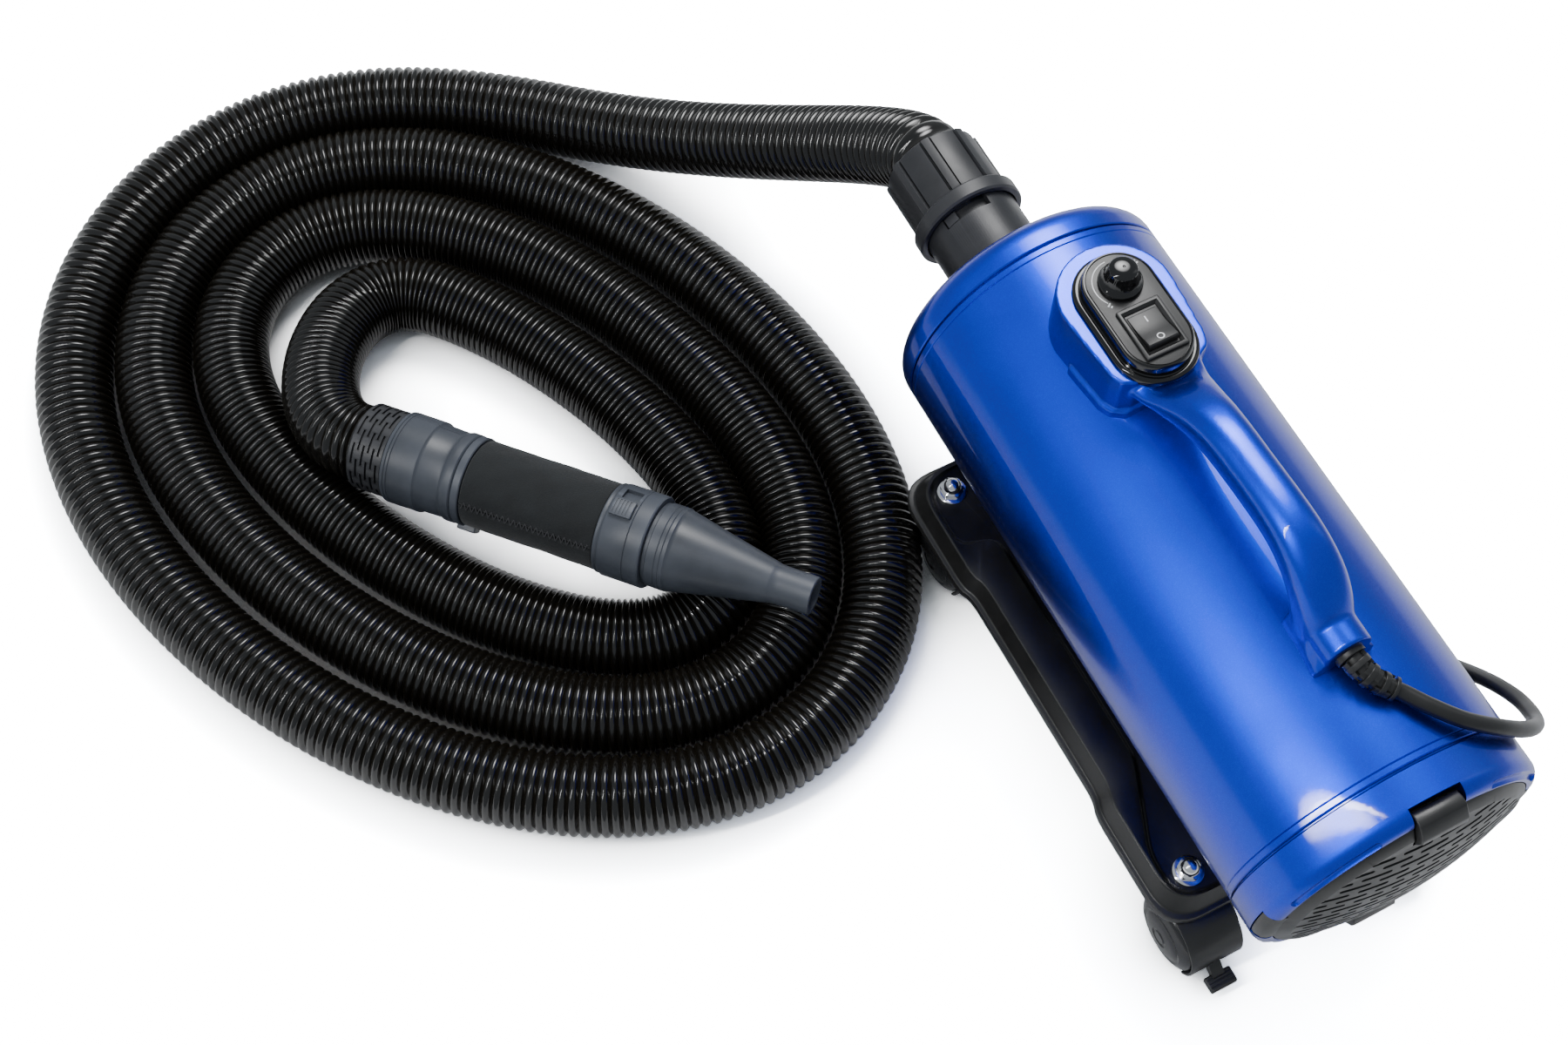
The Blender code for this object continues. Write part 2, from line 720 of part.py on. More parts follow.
def deck_outline(inset=0):
    """The lip: two wide pads joined by a slightly narrower waist."""
    pad = PAD_HALF_WIDTH - inset
    waist = WAIST_HALF_WIDTH - inset
    front = DECK_FRONT - inset
    rear = DECK_REAR + inset
    right = [(pad, rear), (pad, -84), (waist, -74), (waist, 72), (pad, 80), (pad, front)]
    left = [(-x, y) for x, y in reversed(right)]
    return rounded_ends(right, left)


def rounded_ends(right, left):
    corners = right + left
    points = []
    for i, corner in enumerate(corners):
        at_end = corner[1] in (right[0][1], right[-1][1])
        trio = [corners[i - 1], corner, corners[(i + 1) % len(corners)]]
        steps = 4 if at_end else 1
        points += rounded(trio, 24 if at_end else 4, steps)[steps + 1:2 * steps + 2]
    return points


def trough_outline(inset=0):
    """The recess inside the ridge: narrow under the body, wide round each stud."""
    pad = 83.5 - inset
    waist = 60 - inset
    front = 154 - inset
    rear = -155 + inset
    right = [(pad, rear), (pad, -120), (waist, -66), (waist, 97), (pad, 101 + inset), (pad, front)]
    left = [(-x, y) for x, y in reversed(right)]
    return rounded_ends(right, left)


def base_deck(root, plastic):
    """A moulded tray: lip, sloped shoulder, ridge, recess with the studs, and two saddles."""
    deck = plate("base_deck", deck_outline(), LIP_LOW, LIP_TOP)
    inner = deck_outline(9)
    shoulder = loft("deck_shoulder", [
        [(x, y, LIP_TOP - 2) for x, y in deck_outline(2.5)],
        [(x, y, RIDGE_TOP) for x, y in inner]])
    under = plate("deck_underside", deck_outline(5), LIP_LOW - 5, TROUGH_FLOOR - 4)
    recess = plate("deck_recess", trough_outline(), TROUGH_FLOOR, RIDGE_TOP + 5)
    join(deck, shoulder)
    cut(deck, under, recess)
    for name, low, high in (("front", 62, 92), ("rear", -92, -62)):
        join(deck, box(f"deck_saddle_{name}", (-46, low, TROUGH_FLOOR - 3), (46, high, 104)))
    for x, y in stud_places():
        join(deck, rod(f"deck_boss_{x:.0f}_{y:.0f}", (x, y, LIP_LOW + 2), (x, y, TROUGH_FLOOR - 2), 12,
                       steps=12))
    cut(deck, rod("deck_cradle", (0, BODY_REAR, AXIS_HEIGHT), (0, BODY_FRONT, AXIS_HEIGHT),
                  BODY_RADIUS + GAP, steps=48))
    for x, y in stud_places():
        cut(deck, rod(f"deck_hole_{x:.0f}_{y:.0f}", (x, y, LIP_LOW - 5), (x, y, TROUGH_FLOOR + 3),
                      STUD_RADIUS + GAP, steps=12))
    attach(deck, root, plastic)


def stud_places():
    return [(x, y) for y in (STUD_Y, -STUD_Y) for x in (-STUD_X, STUD_X)]


def corner_name(x, y):
    return ("front" if y > 0 else "rear") + ("_left" if x < 0 else "_right")


def stud_nut(x, y, root, steel):
    """An acorn nut on a flange washer."""
    low = TROUGH_FLOOR + GAP
    nut = turned(f"stud_nut_{corner_name(x, y)}", [
        (0, low + 12.6), (3.6, low + 11.8), (5.6, low + 9), (5.9, low + 6), (7, low + 5.6),
        (7, low + 1.5), (9, low + 1.4), (9, low), (STUD_RADIUS + GAP, low),
        (STUD_RADIUS + GAP, low + 7.5), (0, low + 7.5)], (x, y, 0), (0, 0, 1), 8)
    attach(nut, root, steel)


def caster_stud(x, y, root, steel):
    """The threaded stud, with the plain pin that the fork swivels on."""
    stud = turned(f"caster_stud_{corner_name(x, y)}", [
        (0, TROUGH_FLOOR + 7), (STUD_RADIUS, TROUGH_FLOOR + 7), (STUD_RADIUS, LIP_LOW + 1.7),
        (9, LIP_LOW + 1.7), (9, LIP_LOW - 0.3), (STUD_RADIUS, LIP_LOW - 0.3), (STUD_RADIUS, 38),
        (0, 38)], (x, y, 0), (0, 0, 1), 8)
    attach(stud, root, steel)


def round_the_axle(axle_y, radius, first, last, steps):
    """Points (y, z) on an arc about a wheel's axle, its angles in degrees from +Y up."""
    return arc((axle_y, WHEEL_RADIUS), radius, first, last, steps)


def across(name, outline, low, high):
    """An outline (y, z) extruded along X."""
    return loft(name, [[(x, y, z) for y, z in outline] for x in (low, high)])


def caster_fork(x, y, parent, plastic):
    """The hood over the two wheels, the web between them, the stud socket and the axle."""
    name = corner_name(x, y)
    axle_y = y - TRAIL
    inner = WHEEL_RADIUS + 0.9
    outer = WHEEL_RADIUS + 2.6
    hood_outline = round_the_axle(axle_y, outer, 45, 218, 9)
    hood_outline += round_the_axle(axle_y, inner, 218, 45, 9)
    hood = across(f"caster_fork_{name}", hood_outline, x - HOOD_HALF_WIDTH, x + HOOD_HALF_WIDTH)
    web_outline = round_the_axle(axle_y, outer - 0.7, 49, 215, 8)
    web_outline += [(axle_y - 8, 8), (axle_y + 8, 10), (axle_y + 15, 22)]
    half = WHEEL_INNER - 0.6
    web = across(f"fork_web_{name}", web_outline, x - half, x + half)
    socket = rod(f"fork_socket_{name}", (x, y, 29), (x, y, LIP_LOW - 1), half - 0.3, steps=10)
    axle = rod(f"fork_axle_{name}", (x - 19, axle_y, WHEEL_RADIUS), (x + 19, axle_y, WHEEL_RADIUS),
               AXLE_RADIUS, steps=8)
    bore = rod(f"fork_bore_{name}", (x, y, 36), (x, y, LIP_LOW + 3), SWIVEL_BORE_RADIUS, steps=8)
    join(hood, web, socket, axle)
    cut(hood, bore)
    if y < 0:
        slot = box(f"fork_brake_slot_{name}", (x - 5, axle_y - 40, 4), (x + 5, axle_y - 15, 26))
        cut(hood, slot)
    attach(hood, parent, plastic)


def caster_wheel(x, y, side, parent, rubber):
    """One wheel of a pair: a domed face outside, a flat one against the hood's web."""
    name = f"wheel_{corner_name(x, y)}_{'outer' if side * x > 0 else 'inner'}"
    profile = [
        (0, WHEEL_OUTER),
        (16, WHEEL_OUTER - 1.4),
        (24, WHEEL_OUTER - 5.4),
        (WHEEL_RADIUS, WHEEL_OUTER - 8),
        (WHEEL_RADIUS, WHEEL_INNER),
        (AXLE_RADIUS + 0.1, WHEEL_INNER),
        (AXLE_RADIUS + 0.1, 19.6),
        (0, 19.6),
    ]
    wheel = turned(name, profile, (x, y - TRAIL, WHEEL_RADIUS), (side, 0, 0), 16)
    attach(wheel, parent, rubber)


def brake_pedal(x, y, parent, plastic):
    """A foot lever at the trailing end, in the hood's slot."""
    name = f"brake_pedal_{corner_name(x, y)}"
    axle_y = y - TRAIL
    side = [(-20, 24), (-34, 14), (-34, 10), (-30, 9.5), (-19, 17)]
    stem = loft(name, [[(x + across, axle_y + along, height) for along, height in side]
                       for across in (-4, 4)])
    pad = box(f"brake_pad_{name}", (x - 9, axle_y - 41, 9), (x + 9, axle_y - 31, 14))
    join(stem, bevelled(pad, 1))
    attach(stem, parent, plastic)


# ---------------------------------------------------------------- hose

def spiral_point(turn):
    """A place on the floor spiral, counted in turns from its outer start."""
    angle = 2 * pi * turn
    along = (SPIRAL_HALF_LENGTH - SPIRAL_PITCH_LONG * turn) * cos(angle)
    along += -6 * cos(2 * angle) - 3.8 * cos(3 * angle)
    across = (SPIRAL_HALF_WIDTH - SPIRAL_PITCH_WIDE * turn) * sin(angle)
    x = SPIRAL_CENTRE[0] + along * cos(SPIRAL_TURN) - across * sin(SPIRAL_TURN)
    y = SPIRAL_CENTRE[1] + along * sin(SPIRAL_TURN) + across * cos(SPIRAL_TURN)
    return Vector((x, y, HOSE_FLOOR))


def spiral_heading(turn):
    return (spiral_point(turn + 0.001) - spiral_point(turn)).normalized()


def cubic(start, near, far, end, steps):
    """Points on a cubic Bezier curve, without its last one."""
    points = []
    for i in range(steps):
        t = i / steps
        points.append(start * (1 - t) ** 3 + near * 3 * t * (1 - t) ** 2
                      + far * 3 * t * t * (1 - t) + end * t ** 3)
    return points


def hose_path():
    """From inside the collar, down in a long bend to the floor, round the spiral, into the wand."""
    mouth = Vector((0, COLLAR_END, HOSE_FLOOR))
    first = spiral_point(SPIRAL_FIRST_TURN)
    lead = cubic(mouth, mouth + Vector((0, 60, 0)),
                 first - 120 * spiral_heading(SPIRAL_FIRST_TURN), first, 16)
    count = round((SPIRAL_LAST_TURN - SPIRAL_FIRST_TURN) * 30)
    pitch = (SPIRAL_LAST_TURN - SPIRAL_FIRST_TURN) / count
    coil = [spiral_point(SPIRAL_FIRST_TURN + i * pitch) for i in range(count)]
    last = spiral_point(SPIRAL_LAST_TURN)
    way = wand_direction()
    end = Vector(WAND_START) - 12 * way
    tail = cubic(last, last + 80 * spiral_heading(SPIRAL_LAST_TURN), end - 55 * way, end, 12)
    points = lead + coil + tail
    travelled = 0
    for before, point in zip(points, points[1:] + [end]):
        if before not in tail:
            before.z = hose_height(travelled)
        travelled += (Vector(point[:2]) - Vector(before[:2])).length
    straight = [Vector((0, SPIGOT_END + 13, AXIS_HEIGHT))]
    return straight + points + [end, end + 22 * way]


def hose_height(travelled):
    """The hose leaves level with the body's axis, sags, and flattens out onto the floor."""
    share = min(travelled / HOSE_DROP_LENGTH, 1)
    eased = min(1.04 * share ** 2 / (share + 0.04), 1)
    return HOSE_FLOOR + (AXIS_HEIGHT - HOSE_FLOOR) * (1 - eased) ** 2.3


def hose(root, rubber):
    attach(sweep("hose", hose_path(), HOSE_RADIUS, wall=HOSE_WALL), root, rubber)


# ---------------------------------------------------------------- wand

def wand_direction():
    return (Vector(WAND_TIP) - Vector(WAND_START)).normalized()


def wand_turned(name, profile, steps=24):
    return turned(name, profile, WAND_START, wand_direction(), steps)


def wand(root, parent, nozzle_pivot, plastic, foam):
    """Parts along the wand's axis. Distances are from the hose end."""
    cuff = wand_turned("wand_cuff", [
        (24, 33), (24, 21), (28.3, 21), (28.3, -3), (HOSE_SOCKET, -3), (HOSE_SOCKET, 13), (19, 13),
        (19, 33)])
    attach(cuff, root, plastic)
    collar = wand_turned("wand_collar", [
        (29.3, 70), (29.3, 62), (28.4, 61), (28.4, 46), (30, 45), (30, 21.6), (24.4, 21.6),
        (24.4, 35), (20, 35), (20, 70)])
    attach(collar, parent, plastic)
    barrel = wand_turned("wand_barrel", [
        (24.6, 191), (24.6, 76), (29, 76), (29, 70.4), (20, 70.4), (20, 191)])
    attach(barrel, parent, plastic)
    sleeve = wand_turned("grip_sleeve", [(28.2, 168), (28.2, 76.4), (24.9, 76.4), (24.9, 168)])
    attach(sleeve, parent, foam)
    ring = wand_turned("wand_front_ring", [
        (29.8, 200), (29.8, 172), (28.6, 168.6), (24.9, 168.6), (24.9, 200)])
    attach(ring, parent, plastic)
    nozzle = wand_turned("cone_nozzle", [
        (12.2, WAND_LENGTH), (12.6, 277), (26.4, 215), (27, 200.5), (19.7, 200.5), (19.7, 184),
        (17.6, 184), (17.6, 214), (9.5, 276), (9.5, WAND_LENGTH)])
    attach(nozzle, nozzle_pivot, plastic)


# ---------------------------------------------------------------- inside

def insides(root, impeller_pivot, metal, plastic, foam, rubber):
    centre = (0, 0, AXIS_HEIGHT)
    attach(turned("fan_housing", [
        (70, -20), (70, -70), (24, -70), (24, -68), (68, -68), (68, -22), (47, -22), (47, -20)],
        centre, steps=28), root, metal)
    attach(tube("motor_can", (0, -17, AXIS_HEIGHT), (0, 70, AXIS_HEIGHT), 46, 4.4, 24), root, metal)
    attach(tube("motor_mount", (0, 30, AXIS_HEIGHT), (0, 42, AXIS_HEIGHT),
                BODY_RADIUS - SHEET - 0.6, 46.4, 28), root, rubber)
    attach(tube("inlet_seal", (0, -66, AXIS_HEIGHT), (0, -56, AXIS_HEIGHT),
                BODY_RADIUS - SHEET - 0.6, 70.4, 28), root, rubber)
    attach(rod("intake_filter", (0, REAR_EDGE + 12.6, AXIS_HEIGHT), (0, REAR_EDGE + 22, AXIS_HEIGHT),
               79.3, steps=28), root, foam)
    attach(tube("sound_liner", (0, 76, AXIS_HEIGHT), (0, 156, AXIS_HEIGHT),
                BODY_RADIUS - SHEET - 0.8, 70, 28), root, foam)
    wheel = turned("impeller", [
        (0, 66), (4.2, 66), (4.2, -30), (12, -30), (62, -32), (62, -34), (12, -34), (9, -58), (0, -60)],
        centre, steps=24)
    for i in range(7):
        angle = 2 * pi * i / 7
        middle = Vector((36 * cos(angle), -43, AXIS_HEIGHT + 36 * sin(angle)))
        blade = box(f"impeller_blade_{i}", middle - Vector((27, 12, 0.8)), middle + Vector((27, 10, 0.8)),
                    Quaternion((0, 1, 0), -angle + radians(25)))
        join(wheel, blade)
    attach(wheel, impeller_pivot, metal)


# ---------------------------------------------------------------- assembly

def build():
    clear_scene()
    paint = material("blue_paint", BLUE, 0.25, 0.6)
    gloss = material("gloss_black", BLACK, 0.15)
    satin = material("satin_black", CHARCOAL, 0.45)
    rubber = material("black_rubber", BLACK, 0.6)
    hose_vinyl = material("hose_vinyl", BLACK, 0.2)
    foam = material("dark_foam", CHARCOAL, 0.95)
    chrome = material("bright_steel", STEEL, 0.12, 1.0)
    motor_metal = material("motor_metal", STEEL, 0.4, 1.0)
    board = material("circuit_board", (0.02, 0.2, 0.06), 0.5)

    root = pivot("dryer_origin", (0, 0, 0))
    body_tube(root, paint)
    front_cap(root, paint)
    rear_cap(root, paint)
    outlet_spigot(root, satin)
    spigot_screw(root, chrome)
    handle(root, paint)
    control_bezel(root, gloss)
    switch_frame(root, satin)
    speed_board(root, board)
    strain_relief(root, rubber)
    power_cord(root, rubber)
    mains_plug(root, rubber)
    base_deck(root, satin)

    grille_pivot = pivot("grille_way", (0, REAR_EDGE, AXIS_HEIGHT), (0, -1, 0), root)
    grille(grille_pivot, satin)
    for name, sign in (("latch_top", 1), ("latch_bottom", -1)):
        hinge = pivot(f"{name}_hinge", (0, -211, AXIS_HEIGHT + sign * 64), (1, 0, 0), grille_pivot)
        latch(name, sign, hinge, satin)

    power_rocker(pivot("rocker_pin", (0, SWITCH_Y, PLATE_TOP - 3), (1, 0, 0), root), satin)
    speed_knob(pivot("knob_shaft", (0, KNOB_Y, PLATE_TOP), (0, 0, 1), root), gloss)
    hose_collar(pivot("collar_axis", (0, COLLAR_START, AXIS_HEIGHT), (0, 1, 0), root), satin)
    hose(root, hose_vinyl)

    wand_pivot = pivot("wand_swivel", WAND_START, wand_direction(), root)
    nozzle_pivot = pivot("nozzle_bayonet", WAND_START, wand_direction(), wand_pivot)
    wand(root, wand_pivot, nozzle_pivot, satin, foam)

    impeller_pivot = pivot("motor_shaft", (0, 0, AXIS_HEIGHT), (0, 1, 0), root)
    insides(root, impeller_pivot, motor_metal, satin, foam, rubber)

    for x, y in stud_places():
        name = corner_name(x, y)
        stud_nut(x, y, root, chrome)
        caster_stud(x, y, root, chrome)
        swivel = pivot(f"swivel_{name}", (x, y, 0), (0, 0, 1), root)
        caster_fork(x, y, swivel, satin)
        for side in (-1, 1):
            axle = pivot(f"axle_{name}_{side}", (x, y - TRAIL, WHEEL_RADIUS), (1, 0, 0), swivel)
            caster_wheel(x, y, side, axle, satin)
        if y < 0:
            brake = pivot(f"brake_{name}", (x, y - TRAIL - 20, 20), (1, 0, 0), swivel)
            brake_pedal(x, y, brake, satin)


build()
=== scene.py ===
"""Looks of the pet dryer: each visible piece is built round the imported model, in millimetres.

Places count from the point on the floor under the body's axis, midway between the caster studs,
as in the model's source. at() turns such a place into the row frame, in metres.
"""

from math import atan2, copysign, cos, hypot, pi, radians, sin

import bmesh
import bpy
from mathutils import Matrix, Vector


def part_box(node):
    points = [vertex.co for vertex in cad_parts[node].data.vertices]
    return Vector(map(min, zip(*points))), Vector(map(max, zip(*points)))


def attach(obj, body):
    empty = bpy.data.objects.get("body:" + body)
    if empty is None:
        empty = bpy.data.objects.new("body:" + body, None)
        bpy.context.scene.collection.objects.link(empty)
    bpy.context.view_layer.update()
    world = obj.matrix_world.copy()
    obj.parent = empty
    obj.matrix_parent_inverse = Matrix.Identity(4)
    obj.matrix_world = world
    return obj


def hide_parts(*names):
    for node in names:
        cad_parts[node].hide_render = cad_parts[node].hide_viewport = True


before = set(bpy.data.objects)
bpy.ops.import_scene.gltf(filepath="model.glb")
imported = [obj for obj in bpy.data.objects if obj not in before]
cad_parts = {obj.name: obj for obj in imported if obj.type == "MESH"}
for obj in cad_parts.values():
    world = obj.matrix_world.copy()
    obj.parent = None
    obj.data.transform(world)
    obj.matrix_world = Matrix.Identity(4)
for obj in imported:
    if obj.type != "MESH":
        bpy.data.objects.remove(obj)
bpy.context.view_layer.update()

MM = 0.001
DECK_LOW, DECK_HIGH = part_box("base_deck")
OFFSET = Vector(((DECK_LOW.x + DECK_HIGH.x) / 2, (DECK_LOW.y + DECK_HIGH.y) / 2 + 1 * MM, 0))

AXIS_HEIGHT = 175
BODY_RADIUS = 85
BODY_FRONT = 169
BODY_REAR = -177.5
FRONT_FACE = 193.5
REAR_EDGE = -205.5
GRILLE_RADIUS = 75.8
GRILLE_CROWN = -219
EAR_HALF_HEIGHT = 16
LATCH_HALF_WIDTH = 14

SPIGOT_RADIUS = 30
SPIGOT_BORE = 26.6
SPIGOT_END = 256
WINDOW_START = 240
WINDOW_END = 247.3
COLLAR_START = 247
COLLAR_END = 300
LOCK_ANGLE = 128.5
LOCK_TRAVEL = 40
LUG_HALF_ANGLE = 8
LUG_SCREW_X = -38

BOSS_TOP = 289
BEZEL_FRONT = 108.5
BEZEL_REAR = 72.5
PLATE_TOP = 300
KNOB_Y = 108.8
SWITCH_Y = 76.4
FOOT_REAR = -118.2
FOOT_AXIS_HEIGHT = 272
CORD_RADIUS = 4.5
PLUG_X = 120

LIP_LOW = 55
LIP_TOP = 61.5
RIDGE_TOP = 74
TROUGH_FLOOR = 69
STUD_X = 67
STUD_Y = 138.5
WHEEL_RADIUS = 25
TRAIL = 18
NUT_FLAT_RADIUS = 6.6

HOSE_CREST = 25.3
HOSE_VALLEY = 22.6
HOSE_FLOOR = 25.5
SPIRAL_CENTRE = (-305.8, 332.5)
SPIRAL_TURN = radians(114.1)
SPIRAL_HALF_LENGTH = 319.4
SPIRAL_HALF_WIDTH = 227.4
SPIRAL_PITCH_LONG = 51.5
SPIRAL_PITCH_WIDE = 55.4
SPIRAL_FIRST_TURN = -0.19
SPIRAL_LAST_TURN = 2.84
HOSE_DROP_LENGTH = 400
RIB_PITCH_OUTER = 6.4
RIB_PITCH_INNER = 4.7
RINGS_A_RIB = 6
RIB_SHAPE = (0.0, 0.55, 0.93, 1.0, 0.93, 0.55)

WAND_START = Vector((-376.5, 341.3, 58))
WAND_TIP = Vector((-179.4, 109.5, 80))
WAND_LENGTH = 305
SEAM_ANGLE = radians(300)

FLOOR_GAIN = 24


# ---------------------------------------------------------------- shapes

def at(point):
    """A place in the row frame, in metres."""
    return Vector(point) * MM + OFFSET


def about(base, direction, zero):
    """Polar places about an axis: (radius, angle, distance along it) to a point."""
    base = Vector(base)
    along = Vector(direction).normalized()
    first = Vector(zero)
    first = (first - along * first.dot(along)).normalized()
    second = first.cross(along)

    def place(radius, angle, distance):
        return base + along * distance + (first * cos(angle) + second * sin(angle)) * radius
    return place


BODY = about((0, 0, AXIS_HEIGHT), (0, 1, 0), (1, 0, 0))
WAND = about(WAND_START, WAND_TIP - WAND_START, (0, 0, 1))


def upright(x, y):
    """Polar places about a vertical line."""
    return about((x, y, 0), (0, 0, 1), (0, 1, 0))


def new_object(name, form):
    bmesh.ops.remove_doubles(form, verts=form.verts, dist=0.004 * MM)
    bmesh.ops.recalc_face_normals(form, faces=form.faces)
    mesh = bpy.data.meshes.new(name)
    form.to_mesh(mesh)
    form.free()
    obj = bpy.data.objects.new(name, mesh)
    bpy.context.scene.collection.objects.link(obj)
    return obj


def skin(name, rings, loop=False):
    """A skin over rings of equal counts, capped at both ends or closed on itself."""
    form = bmesh.new()
    made = [[form.verts.new(at(point)) for point in ring] for ring in rings]
    pairs = list(zip(made, made[1:]))
    if loop:
        pairs.append((made[-1], made[0]))
    for near, far in pairs:
        for i in range(len(near)):
            j = (i + 1) % len(near)
            form.faces.new((near[i], near[j], far[j], far[i]))
    if not loop:
        form.faces.new(made[0])
        form.faces.new(made[-1])
    return new_object(name, form)


def soft_corner(before, here, after, radius, steps):
    """The points of one rounded corner, which takes up less than half of each side."""
    here = Vector(here)
    back = Vector(before) - here
    ahead = Vector(after) - here
    first = here + back.normalized() * min(radius, back.length * 0.45)
    last = here + ahead.normalized() * min(radius, ahead.length * 0.45)
    points = []
    for k in range(steps + 1):
        t = k / steps
        points.append(tuple(first * (1 - t) ** 2 + here * 2 * t * (1 - t) + last * t * t))
    return points


def is_corner(before, here, after):
    """Whether the line really turns at a point: by more than 12 degrees, between sides with a length."""
    back = Vector(before) - Vector(here)
    ahead = Vector(after) - Vector(here)
    return min(back.length, ahead.length) >= 0.01 and back.angle(ahead) <= radians(168)


def eased(points, radius, steps=3, cyclic=True):
    """A line of points with each real corner made round."""
    ends = () if cyclic else (0, len(points) - 1)
    result = []
    for i, here in enumerate(points):
        before = points[i - 1]
        after = points[(i + 1) % len(points)]
        if i not in ends and is_corner(before, here, after):
            result += soft_corner(before, here, after, radius, steps)
        else:
            result.append(tuple(Vector(here)))
    return result


def turned(name, profile, place, steps, soft, shape=None):
    """A turned piece. The profile is (radius, distance). shape may change a radius by angle."""
    ring_shaped = profile[0][0] > 0
    line = eased(profile, soft, cyclic=ring_shaped) if soft else profile
    rings = []
    for radius, distance in line:
        ring = []
        for k in range(steps):
            angle = 2 * pi * k / steps
            real = shape(radius, angle, distance) if shape else radius
            ring.append(place(real, angle, distance))
        rings.append(ring)
    return skin(name, rings, loop=ring_shaped)


def rod(name, radius, start, end, place, steps, soft=0):
    """A straight round rod between two distances along an axis."""
    return turned(name, [(0, start), (radius, start), (radius, end), (0, end)], place, steps, soft)


def raised(profile, base):
    """A profile with its distances counted from a base."""
    return [(radius, base + distance) for radius, distance in profile]


def sector(name, place, inner, outer, start, end, first, last, steps=8):
    """A block of a ring between two angles in degrees."""
    rings = []
    for i in range(steps + 1):
        angle = radians(first + (last - first) * i / steps)
        rings.append([place(r, angle, d) for r, d in
                      ((inner, start), (outer, start), (outer, end), (inner, end))])
    return skin(name, rings)


def arc(centre, radius, first, last, steps):
    """Points on a flat arc, angles in degrees."""
    angles = [radians(first + (last - first) * i / steps) for i in range(steps + 1)]
    return [(centre[0] + radius * cos(a), centre[1] + radius * sin(a)) for a in angles]


def plate(name, outline, low, high, edge=0):
    """A flat outline raised between two heights, with its top and bottom edges bevelled."""
    obj = skin(name, [[(x, y, z) for x, y in outline] for z in (low, high)])
    return bevelled(obj, edge) if edge else obj


def slab(name, low, high, edge=0):
    """A box between two corners with bevelled edges."""
    outline = [(low[0], low[1]), (high[0], low[1]), (high[0], high[1]), (low[0], high[1])]
    return plate(name, outline, low[2], high[2], edge)


def across(name, outline, low, high, edge=0):
    """An outline (y, z) extruded along X."""
    obj = skin(name, [[(x, y, z) for y, z in outline] for x in (low, high)])
    return bevelled(obj, edge) if edge else obj


def bar(name, points, radius, steps, span=1):
    """A round bar along a line of points. radius is a number or one for each point.

    The bar's heading at a point is taken from its neighbours, span points before and after it.
    """
    rings = []
    side = Vector((0, 0, 1))
    points = [Vector(point) for point in points]
    for i, point in enumerate(points):
        ahead = points[min(i + span, len(points) - 1)] - points[max(i - span, 0)]
        along = ahead.normalized()
        side = (side - along * side.dot(along)).normalized()
        other = along.cross(side)
        size = radius[i] if isinstance(radius, list) else radius
        ring = []
        for k in range(steps):
            angle = 2 * pi * k / steps
            ring.append(point + (side * cos(angle) + other * sin(angle)) * size)
        rings.append(ring)
    return skin(name, rings)


def through(points, steps):
    """A smooth line through the points (Catmull-Rom)."""
    points = [Vector(point) for point in points]
    result = []
    for i in range(len(points) - 1):
        a = points[max(i - 1, 0)]
        b, c = points[i], points[i + 1]
        d = points[min(i + 2, len(points) - 1)]
        for k in range(steps):
            t = k / steps
            result.append(0.5 * (2 * b + (c - a) * t + (2 * a - 5 * b + 4 * c - d) * t * t
                                 + (3 * b - a - 3 * c + d) * t ** 3))
    return result + [points[-1]]


# ---------------------------------------------------------------- modifiers, made real at once

def apply_all(obj):
    bpy.context.view_layer.update()
    graph = bpy.context.evaluated_depsgraph_get()
    mesh = bpy.data.meshes.new_from_object(obj.evaluated_get(graph))
    obj.modifiers.clear()
    obj.data = mesh
    return obj


def bevelled(obj, width):
    bevel = obj.modifiers.new("bevel", "BEVEL")
    bevel.width = width * MM
    bevel.segments = 3
    bevel.limit_method = "ANGLE"
    bevel.angle_limit = radians(35)
    return apply_all(obj)


def merged(obj, *others):
    """One object of several meshes, not yet joined into one skin."""
    form = bmesh.new()
    for part in (obj, *others):
        form.from_mesh(part.data)
    form.to_mesh(obj.data)
    form.free()
    for part in others:
        bpy.data.objects.remove(part)
    return obj


def boolean(obj, tool, operation):
    modifier = obj.modifiers.new("boolean", "BOOLEAN")
    modifier.operation = operation
    modifier.solver = "EXACT"
    modifier.use_self = operation == "UNION"
    modifier.object = tool
    apply_all(obj)
    bpy.data.objects.remove(tool)
    return obj


def cut(obj, *tools):
    return boolean(obj, merged(*tools) if len(tools) > 1 else tools[0], "DIFFERENCE")


def join(obj, *tools):
    for tool in tools:
        boolean(obj, tool, "UNION")
    return obj


def melted(obj, voxel, rounds):
    """Overlapping shapes made one skin, with the corners between them filled softly."""
    remesh = obj.modifiers.new("remesh", "REMESH")
    remesh.mode = "VOXEL"
    remesh.voxel_size = voxel * MM
    smooth = obj.modifiers.new("smooth", "SMOOTH")
    smooth.factor = 0.5
    smooth.iterations = rounds
    return apply_all(obj)


def finish(obj, material, body, slot, *nodes, angle=35):
    """Shading, material, body and the model's nodes this piece stands for; slot is not used."""
    obj.data.shade_smooth()
    obj.data.set_sharp_from_angle(angle=radians(angle))
    obj.data.materials.clear()
    obj.data.materials.append(material)
    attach(obj, body)
    if nodes:
        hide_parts(*nodes)
    return obj


# ---------------------------------------------------------------- materials

def add(tree, kind, inputs=None, **settings):
    """A node with its settings, and its inputs set or linked."""
    made = tree.nodes.new("ShaderNode" + kind)
    for key, value in settings.items():
        setattr(made, key, value)
    for key, value in (inputs or {}).items():
        if isinstance(value, bpy.types.NodeSocket):
            tree.links.new(value, made.inputs[key])
        else:
            made.inputs[key].default_value = value
    return made


